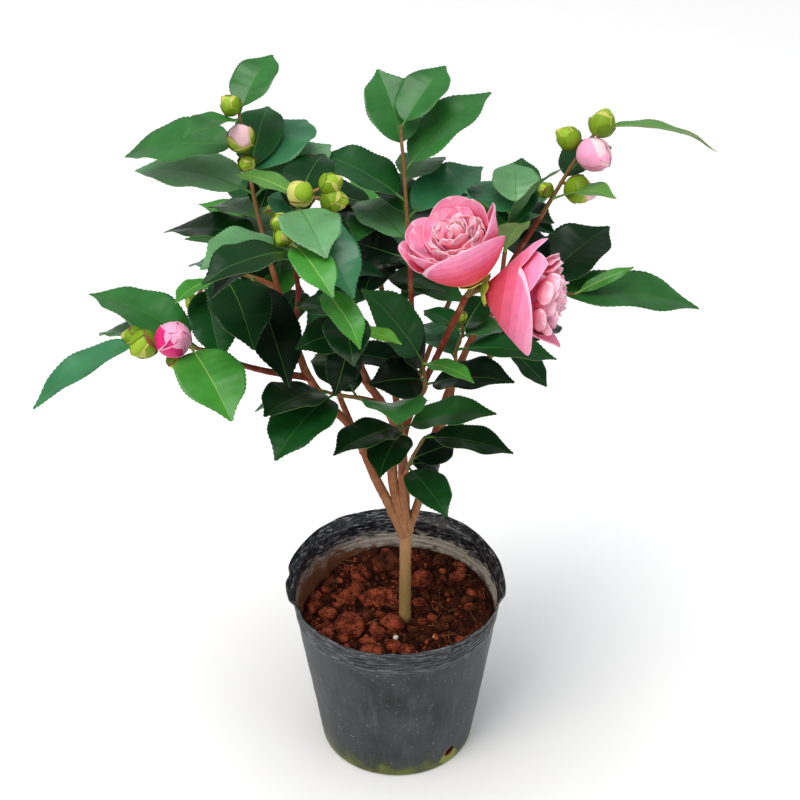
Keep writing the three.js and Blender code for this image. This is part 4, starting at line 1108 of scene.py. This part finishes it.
def leaf_material(name, colour, roughness, sheen):
    """A leaf's skin, IOR 1.45: wax makes the top satin-glossy and uneven in gloss, the underside is matt.
    Its green is mottled a little in patches of a few centimetres."""
    material, shader, place = new_material(name, {"IOR": 1.45, "Specular IOR Level": sheen})
    patch = speckle(material, place, LEAF_MOTTLE, 4)
    mottled(material, shader, patch, colour, (0.82, 1.22), (roughness + 0.1, roughness - 0.06))
    return material


leaves = {"left": [], "middle": [], "right": [], "back": []}
string_balls(route_curve(TRUNK[2]), (TRUNK[0], TRUNK[0]), "trunk")
for name, (first, last, route) in BOUGHS.items():
    string_balls(route_curve(route), (first, last), name)
for calyx, heading, rise, size in FLOWER_ROOM:
    middle = np.array(calyx) + 0.6 * size * direction(heading, rise)
    add_balls([middle], [0.85 * size], "bloom_spray")
for name, spray in SPRAYS.items():
    string_balls(stems[name], TWIG_RADII, name)
    for at, heading, rise, stalk, radius, _ in spray["buds"]:
        middle = at_share(stems[name], at) + stalk * direction(heading, rise)
        add_balls([middle], [radius * 1.1 + 1], name)
for name, spray in SPRAYS.items():
    for at, *leaf in spray["leaves"]:
        put_leaf(blade_frame(at_share(stems[name], at), *leaf), name)
for index, (name, spray) in enumerate(SPRAYS.items()):
    wanted, middle, fan = spray["grown"]
    for attempt in range(wanted * GROWN_TRIES):
        draws = chance(1000 * index + 10 * attempt + np.arange(1, 5))
        heading = middle + fan * (2 * draws[1] - 1)
        sizes = (heading, between(GROWN_RISE, draws[2]), between(GROWN_LENGTH, draws[3]), LEAF_BREADTH)
        tone = GROWN_TONES[attempt % len(GROWN_TONES)]
        blade = blade_frame(at_share(stems[name], 0.1 + 0.9 * draws[0]), *sizes, 0, tone)
        if wanted and leaf_fits(blade, [name, spray["bough"]]):
            put_leaf(blade, name)
            wanted -= 1

leaf_materials = []
for k, (top, _, _, gloss) in enumerate(LEAF_TONES):
    leaf_materials.append(leaf_material(f"leaf_top_{k}", top, 0.32, gloss))
leaf_materials += [leaf_material(f"leaf_under_{k}", tone[1], 0.6, 0.2) for k, tone in enumerate(LEAF_TONES)]
leaf_materials += [leaf_material(f"midrib_{k}", colour, 0.45, 0.4) for k, colour in enumerate(MIDRIBS)]
leaf_materials.append(leaf_material("leaf_edge", LEAF_EDGE, 0.5, 0.4))
for region, blades in leaves.items():
    shape = joined([leaf_shape(blade, 100 * k + 7) for k, blade in enumerate(blades)])
    piece = add_piece(f"{region}_leaves", shape, leaf_materials, (EDGE_SLOT,))
    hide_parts(*[name for name, spray in SPRAYS.items() if spray["region"] == region])

# --- The buds -----------------------------------------------------------------------------------------
# Fat flower buds in overlapping scales, waxy yellow-green with cream and brown rims. On some the pink
# petals show at the point, and two are about to open, one striped magenta and pink, the other paler.
GOLDEN_ANGLE = 137.5
BUD_STRETCH = 1.15
BUD_POINT = 0.22
BUD_ROWS = 22
BUD_SIDES = 20
SCALE_THICKNESS = 0.25
PETAL_MOTTLE = 6.25
BUD_TONES = (
    "#71901a", "#5c7a14", "#8aa82a", "#b9b45e", "#6e4424", "#c9c46c", "#eec2c8", "#d2246e", "#ee9dbe",
)
GREEN, DARK_GREEN, LIGHT_GREEN, CREAM_RIM, BROWN_RIM, CREAM, BLUSH, MAGENTA, PALE_PINK = range(9)
# A look: the core's tone, how far up the bud its green scales reach, and the two pinks of its petals.
BUD_LOOKS = {
    "green": (LIGHT_GREEN, 0.93, ()),
    "cream": (CREAM, 0.9, ()),
    "pink_tip": (BLUSH, 0.74, ()),
    "opening": (PALE_PINK, 0.46, (MAGENTA, PALE_PINK)),
    "pale": (BLUSH, 0.3, (PALE_PINK, BLUSH)),
}
OPENING_TURN = 42


def surface_normals(points):
    """Unit normals of a grid of points: the cross of its steps across and along."""
    out = np.cross(np.gradient(points, axis=1), np.gradient(points, axis=0))
    return out / np.maximum(np.linalg.norm(out, axis=-1), 1e-9)[..., None]


def sheet_shape(top, thickness, top_slots, under_slots):
    """A thin closed sheet under a grid of points, as thick as given at each column. Its faces take their
    slots from two grids, one above and one below."""
    bottom = top - surface_normals(top) * thickness[..., None]
    rings = np.concatenate([top, bottom[:, ::-1]], axis=1)
    start = (top[0] + bottom[0]).mean(axis=0) / 2
    end = (top[-1] + bottom[-1]).mean(axis=0) / 2
    shape = closed_surface(rings, start, end)
    slots = np.concatenate([top_slots, under_slots], axis=1)
    shape[2][:] = np.concatenate([slots.ravel(), slots[0], slots[-1]])
    return shape


def cross_frame(along):
    """Two unit vectors square to a direction and to each other."""
    first = np.cross(UP, along)
    first = first / np.linalg.norm(first)
    return first, np.cross(along, first)


def spoke(axis, turn):
    """The unit vector square to an axis, at a turn about it in degrees."""
    first, second = cross_frame(axis)
    return math.cos(math.radians(turn)) * first + math.sin(math.radians(turn)) * second


def on_bud(middle, along, radius, s, phi, lift):
    """Points on a bud at shares s from its base to its point and turns phi about it: an egg's profile,
    sharper at its point, raised by lift."""
    first, second = cross_frame(along)
    rise = -np.cos(np.pi * s)
    reach = (radius * np.sin(np.pi * s) + lift) * (1 - BUD_POINT * np.maximum(0, rise))
    height = radius * (BUD_STRETCH * rise + 0.16 * np.maximum(0, rise) ** 9)
    out = np.cos(phi)[..., None] * first + np.sin(phi)[..., None] * second
    return middle + along * height[..., None] + out * reach[..., None]


def scale_shape(middle, along, radius, turn, ends, half_turn, lift, twist, tone, rim):
    """One scale or petal of a bud: a patch of its skin with a rounded end, its outermost rows and columns
    in the rim's colour."""
    u = np.append(np.linspace(0, 0.94, 9), (0.975, 1))[:, None]
    a = np.array([-1, -0.86, -0.5, 0, 0.5, 0.86, 1])
    s = ends[0] + (ends[1] - ends[0]) * u + 0 * a
    phi = math.radians(turn) + math.radians(twist) * u
    phi = phi + math.radians(half_turn) * a * np.sqrt(1 - u**2.6)
    top = on_bud(middle, along, radius, s, phi, lift + 0.25 * ramp(u, 0.5, 1) + 0 * a)
    slots = np.full((len(u) - 1, len(a)), tone)
    slots[-3:] = rim
    slots[:, [0, 5, 6]] = rim
    return sheet_shape(top, np.full((1, len(a)), SCALE_THICKNESS), slots, slots)


def bud_shape(middle, along, radius, look, seed):
    """A bud: an egg under overlapping scales, each a golden angle on from the last, the outer ones shorter.
    An opening bud has longer, twisted petals in two pinks above short green scales."""
    s = np.linspace(0, 1, BUD_ROWS)[1:-1, None] + np.zeros(BUD_SIDES)
    phi = full_turn(BUD_SIDES)[None, :] + 0 * s
    core = on_bud(middle, along, radius - 0.3, s, phi, 0 * s)
    ends = [middle - along * BUD_STRETCH * radius, middle + along * (BUD_STRETCH + 0.14) * radius]
    core_tone, reach, pinks = BUD_LOOKS[look]
    shapes = [with_slot(closed_surface(core, *ends), core_tone)]
    first_turn = OPENING_TURN if pinks else 360 * chance(seed + 0.3)
    if pinks:
        deep, light = pinks
        for k, tone in enumerate((light, deep, light, light, deep, light, deep)):
            turn = first_turn + GOLDEN_ANGLE * k
            patch = (turn, (0.1, 0.97 - 0.02 * k), 50, 0.1 + 0.22 * k, 20, tone, PALE_PINK)
            shapes.append(scale_shape(middle, along, radius, *patch))
    greens = (LIGHT_GREEN, GREEN, GREEN, GREEN, DARK_GREEN, GREEN, DARK_GREEN)
    for k, tone in enumerate(greens):
        if look == "cream":
            tone = (CREAM, LIGHT_GREEN)[k % 2]
        rim = (CREAM_RIM, CREAM_RIM, tone, CREAM_RIM, BROWN_RIM, tone, tone)[k]
        turn = first_turn + 60 + GOLDEN_ANGLE * k
        patch = (turn, (0.03, reach * (1 - 0.09 * k)), 62, 0.25 + 0.2 * k, 0, tone, rim)
        shapes.append(scale_shape(middle, along, radius, *patch))
    return joined(shapes)


def petal_material(name, colour, roughness, glow):
    """A petal or a bud's scale: soft plant skin, IOR 1.4, matt with a faint sheen, lit through by glow, its
    colour mottled a little in patches of a few millimetres."""
    depths = {"Subsurface Weight": glow, "Subsurface Radius": (1, 0.4, 0.4), "Subsurface Scale": 0.003}
    material, shader, place = new_material(name, {"IOR": 1.4, "Specular IOR Level": 0.25, **depths})
    patch = speckle(material, place, PETAL_MOTTLE)
    mottled(material, shader, patch, colour, (0.93, 1.07), (roughness + 0.08, roughness - 0.05))
    return material


buds = []
for index, (name, spray) in enumerate(SPRAYS.items()):
    for k, (at, heading, rise, stalk, radius, look) in enumerate(spray["buds"]):
        root = at_share(stems[name], at)
        along = direction(heading, rise)
        middle = root + stalk * along
        buds.append(bud_shape(middle, along, radius, look, 10 * index + k))
        neck = root + np.linspace(0, 1, 8)[:, None] * (middle - 0.9 * radius * along - root)
        twigs.append(tube(neck, np.linspace(1.2, 1.5, 8), TWIG_SIDES))
bud_materials = [petal_material(f"bud_{k}", tone, 0.4, 0.1) for k, tone in enumerate(BUD_TONES)]
add_piece("buds", joined(buds), bud_materials)

# --- The flowers --------------------------------------------------------------------------------------
# Two peony-form camellias at the tip of one shoot: a bowl of broad, notched outer petals round a crumpled
# heap of small ones, soft and matt. The outer petals are coral at their base and pink above, the inner ones
# paler and warmer.

# A petal: turn about the flower's axis, degrees from the axis at its root and at its end, length, width, how
# far it wraps round the axis, 0-1, how much it is ruffled, the depth of the notch in its end, or -1 for a
# point, and how far its end leans sideways. Each lies inside those before it. tone: the outer tone at the
# root of the seven outermost. heap: how many small petals, the height of the dome they stand on, its radius,
# their length, and how far the dome stands off the axis.
BLOOMS = (
    dict(calyx=(55, -58, 485), heading=180, rise=70, tone=0, petals=(
        (14, 76, 12, 63, 86, 0.9, 0.012, 0.01, 0), (82, 72, 6, 69, 62, 0.9, 0.025, 0.02, 0),
        (306, 74, 14, 62, 54, 0.9, 0.02, 0.04, 0), (266, 76, 24, 64, 44, 0.85, 0.03, 0.08, 0),
        (226, 76, 22, 66, 46, 0.85, 0.035, 0.1, 0), (178, 72, 12, 69, 48, 0.85, 0.035, 0.03, 0),
        (134, 72, 2, 67, 52, 0.85, 0.03, 0.05, 0), (284, 72, 16, 60, 42, 0.7, 0.035, 0.12, 0),
        (244, 70, 20, 62, 44, 0.7, 0.035, 0.12, 0), (202, 68, 14, 62, 42, 0.7, 0.035, 0.14, 0),
        (160, 66, 6, 61, 38, 0.7, 0.035, 0.12, 0), (112, 64, -6, 56, 42, 0.9, 0.03, 0.1, 0),
        (40, 64, -2, 50, 40, 0.9, 0.03, 0.1, 0), (330, 62, 0, 50, 38, 0.9, 0.03, 0.12, 0),
        (272, 62, 6, 56, 34, 0.6, 0.05, 0.14, 0), (224, 62, 6, 57, 34, 0.6, 0.05, 0.14, 0),
        (178, 58, 0, 57, 32, 0.6, 0.05, 0.14, 0), (132, 56, -8, 52, 28, 0.6, 0.05, 0.14, 0)),
        heap=(34, 34, 16, 18, 3)),
    dict(calyx=(62, -56, 479), heading=-8, rise=-6, tone=3, petals=(
        (182, 63, 30, 58, 98, 0.8, 0.01, 0, -0.38), (78, 62, 42, 61, 40, 0.7, 0.015, -1, 0),
        (112, 60, 36, 60, 56, 0.75, 0.015, -1, 0), (300, 58, 38, 56, 52, 0.8, 0.02, 0.02, 0),
        (256, 62, 8, 74, 44, 0.75, 0.02, 0.08, 0), (340, 62, 34, 56, 56, 0.9, 0.03, 0.05, 0),
        (24, 60, 30, 56, 54, 0.9, 0.03, 0.05, 0), (150, 56, 6, 62, 42, 0.8, 0.05, 0.1, 0),
        (204, 56, 4, 64, 42, 0.8, 0.05, 0.1, 0), (256, 56, 6, 63, 42, 0.8, 0.05, 0.1, 0),
        (306, 56, 4, 60, 42, 0.85, 0.05, 0.1, 0), (356, 56, 4, 60, 42, 0.85, 0.05, 0.1, 0),
        (46, 56, 6, 61, 42, 0.85, 0.05, 0.1, 0), (100, 56, 8, 62, 42, 0.8, 0.05, 0.1, 0),
        (126, 48, 6, 61, 30, 0.6, 0.1, 0.14, 0), (176, 48, 6, 62, 30, 0.6, 0.1, 0.14, 0),
        (226, 48, 6, 61, 30, 0.6, 0.1, 0.14, 0), (280, 46, 4, 60, 32, 0.8, 0.06, 0.12, 0),
        (330, 46, 4, 62, 32, 0.8, 0.06, 0.12, 0), (20, 46, 4, 62, 32, 0.8, 0.06, 0.12, 0),
        (74, 48, 6, 64, 30, 0.6, 0.06, 0.14, 0)),
        heap=(40, 44, 22, 17, 0)),
)
PETAL_THICKNESS = 0.6
PETAL_GAP = 0.9
PETAL_ROWS = 28
HEAP_ROWS = 16
SEPAL_ROWS = 12
OUTER_ROW = 7
LATER_TONE = 4
SEPALS = 6
OUTER_TONES = (
    "#d8b45a", "#dc6a50", "#dc3f4d", "#de4456", "#e25068", "#e86382", "#ee769b", "#f388ad", "#f699ba",
    "#fab8cd",
)
INNER_TONES = ("#ec5f78", "#f17a92", "#f48da4", "#f69bb0", "#f8a7ba", "#f9b2c3", "#fabdcb", "#fbccd6")
INNER_START = len(OUTER_TONES)
SEPAL = INNER_START + len(INNER_TONES)
BLOOM_TONES = (*OUTER_TONES, *INNER_TONES, "#a9bd3a", "#d8c870")


def petal_shape(base, axis, petal, tones, inside, rows, seed):
    """One petal, inside mm further in than the flower's bowl. Along its rib it bends evenly from one angle
    with the axis to another; across, it is wrapped round the axis at its distance from it. It is ruffled by
    noise towards a rounded end with a notch, or a pointed one. Its tones run from base to end in bands, and
    the last is its rim's."""
    turn, start, end, length, width, wrap, ruffle, notch, lean = petal
    out = spoke(axis, turn)
    side = np.cross(out, axis)
    u = 1 - (1 - np.linspace(0, 1, rows)) ** 1.5
    a = np.sin(np.radians(np.linspace(-90, 90, rows // 2 + 5)))
    bend = np.radians(start + (end - start) * u**0.8)
    run = length * np.diff(u, prepend=0)
    reach = np.cumsum(run * np.sin(bend)) - inside * np.cos(bend) * ramp(u, 0, 0.4)
    height = np.cumsum(run * np.cos(bend)) + inside * np.sin(bend)
    end_share = np.clip((u - 0.5) / 0.5, 0, 1)
    outline = (1 - end_share**1.7) ** 0.8 if notch < 0 else np.sqrt(1 - end_share**2.6)
    half = np.maximum(0.5 * width * (0.16 + 0.84 * ramp(u, 0, 0.6)) * outline, 0.4)[:, None]
    across = half * a + lean * length * u[:, None] ** 2
    round_axis = across / np.maximum(reach[:, None], 0.6 * half)
    outward = reach[:, None] * (1 - wrap * (1 - np.cos(round_axis)))
    sideways = wrap * reach[:, None] * np.sin(round_axis) + (1 - wrap) * across
    outward -= wrap * 0.4 * np.maximum(0, 0.6 * half - reach[:, None]) * a**2
    top = base + axis * height[:, None, None] + out * outward[..., None] + side * sideways[..., None]
    rib = (np.cos(bend)[:, None] * axis + np.sin(bend)[:, None] * out)[:, None]
    normal = surface_normals(top)
    dip = max(notch, 0) * length * np.exp(-((a / 0.25) ** 2)) * ramp(u, 0.7, 1)[:, None]
    wave = noise(top, 0.4 * width, seed) + 0.7 * noise(top, 0.18 * width, seed + 1)
    lift = ruffle * length * wave * ramp(u, 0.15, 0.9)[:, None]
    top = top - rib * dip[..., None] + normal * lift[..., None]
    count = tones[1] - tones[0]
    slots = tones[0] + np.minimum((u[:-1, None] ** 1.3 * count + 0 * a).astype(int), count - 1)
    slots[-1:] = tones[1]
    slots[len(slots) // 2 :, [0, 1, -3, -2, -1]] = tones[1]
    thickness = PETAL_THICKNESS * (0.5 + 0.5 * np.sqrt(1 - a**2))[None, :]
    return sheet_shape(top, thickness, slots, slots[:, ::-1])


def flower_shape(bloom, seed):
    """A flower: its outer petals as the table gives them, then a heap of small crumpled ones on a spiral of
    golden angles, the inmost nearly upright, and sepals against the back of the bowl."""
    base = np.array(bloom["calyx"], float)
    axis = direction(bloom["heading"], bloom["rise"])
    shapes = []
    for k, petal in enumerate(bloom["petals"]):
        tones = (bloom["tone"] if k < OUTER_ROW else LATER_TONE, INNER_START - 1)
        inside = PETAL_GAP * k + min(k, 1)
        shapes.append(petal_shape(base, axis, petal, tones, inside, PETAL_ROWS, seed + 9 * k))
    count, height, spread, length, off = bloom["heap"]
    aside = 0.7 * off * sum(cross_frame(axis))
    for k in range(count):
        share = math.sqrt((k + 0.5) / count)
        draws = chance(seed + 300 + k + np.array([0.1, 0.2, 0.3, 0.4, 0.5])) - 0.5
        turn = GOLDEN_ANGLE * k + 30 * draws[4]
        root = base + (height - 8 * share**2) * axis + spread * share * spoke(axis, turn) + aside
        start = 10 + 58 * share + 16 * draws[0]
        end = start - 10 - 50 * share + 50 * draws[1]
        sizes = (length * (1 + 0.3 * draws[2]), 13 + 6 * share + 6 * draws[3], 0.35, 0.09, 0.2, 0)
        petal = (turn, start, end, *sizes)
        tones = (INNER_START, SEPAL - 1)
        shapes.append(petal_shape(root, axis, petal, tones, 0, HEAP_ROWS, seed + 400 + k))
    root = base - 1.2 * axis
    tones = (SEPAL, SEPAL + 1)
    for k in range(SEPALS):
        sepal = (360 / SEPALS * k + 20, 90, 50, 14, 15, 0.8, 0.01, -1, 0)
        shapes.append(petal_shape(root, axis, sepal, tones, 0, SEPAL_ROWS, seed + 600 + k))
    return joined(shapes)


flowers = joined([flower_shape(bloom, 50 + 700 * k) for k, bloom in enumerate(BLOOMS)])
petal_materials = [petal_material(f"petal_{k}", tone, 0.55, 0.5) for k, tone in enumerate(BLOOM_TONES)]
flower_piece = add_piece("flowers", flowers, petal_materials)
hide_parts("bloom_spray")
for bloom in BLOOMS:
    axis = direction(bloom["heading"], bloom["rise"])
    base = np.array(bloom["calyx"], float)
    curve = route_curve((BOUGHS["bloom_bough"][2][-1], base - 1.5 * axis, base + 3 * axis))
    share = np.linspace(0, 1, 12)
    twigs.append(tube(at_share(curve, share), 2 + 2.4 * share**3, 12))
add_piece("twigs", joined(twigs), [twig_bark])

# --- The stage, the light and the camera --------------------------------------------------------------
# A plain pale floor under a pale sky, a large soft light overhead, a warmer one from the upper left and in
# front, and a weak cool one from the right. The camera looks down on the crown from a metre and a half away.
FLOOR_REACH = 4
LIGHT_AIM = (0, 0, 0.3)
CAMERA_PLACE = (0.0027, -1.2104, 1.1614)
CAMERA_AIM = (0.0027, 0, 0.345)
CAMERA_LENS = 83.88
CAMERA_SENSOR = 36

floor_mesh = bpy.data.meshes.new("floor")
floor_corners = [(x * FLOOR_REACH, y * FLOOR_REACH, 0) for x, y in ((-1, -1), (1, -1), (1, 1), (-1, 1))]
floor_mesh.from_pydata(floor_corners, [], [(0, 1, 2, 3)])
floor = bpy.data.objects.new("floor", floor_mesh)
bpy.context.scene.collection.objects.link(floor)
floor_mesh.materials.append(new_material("white_paper", {"Base Color": "#f4f4f4", "Roughness": 0.9})[0])

world = bpy.data.worlds.new("pale_sky")
bpy.context.scene.world = world
world.use_nodes = True
feed(world.node_tree.nodes["Background"], {"Color": "#f6f8fc", "Strength": 0.42})


def add_light(name, place, size, watts, colour):
    """A square soft light at a place, turned to face the plant."""
    data = bpy.data.lights.new(name, "AREA")
    data.size = size
    data.energy = watts
    data.color = linear(colour)[:3]
    light = bpy.data.objects.new(name, data)
    bpy.context.scene.collection.objects.link(light)
    light.location = place
    light.rotation_euler = (Vector(LIGHT_AIM) - Vector(place)).to_track_quat("-Z", "Y").to_euler()


add_light("top", (-0.6, -0.4, 4.6), 3.4, 190, "#ffffff")
add_light("key", (-2.6, -2.9, 3.3), 2.8, 95, "#fff6ea")
add_light("fill", (3.0, -2.6, 2.2), 2.0, 26, "#eef4ff")

camera_data = bpy.data.cameras.new("camera")
camera_data.lens = CAMERA_LENS
camera_data.sensor_width = CAMERA_SENSOR
camera = bpy.data.objects.new("camera", camera_data)
bpy.context.scene.collection.objects.link(camera)
camera.location = CAMERA_PLACE
camera.rotation_euler = (Vector(CAMERA_AIM) - camera.location).to_track_quat("-Z", "Y").to_euler()
bpy.context.scene.camera = camera
bpy.context.scene.view_settings.view_transform = "Standard"
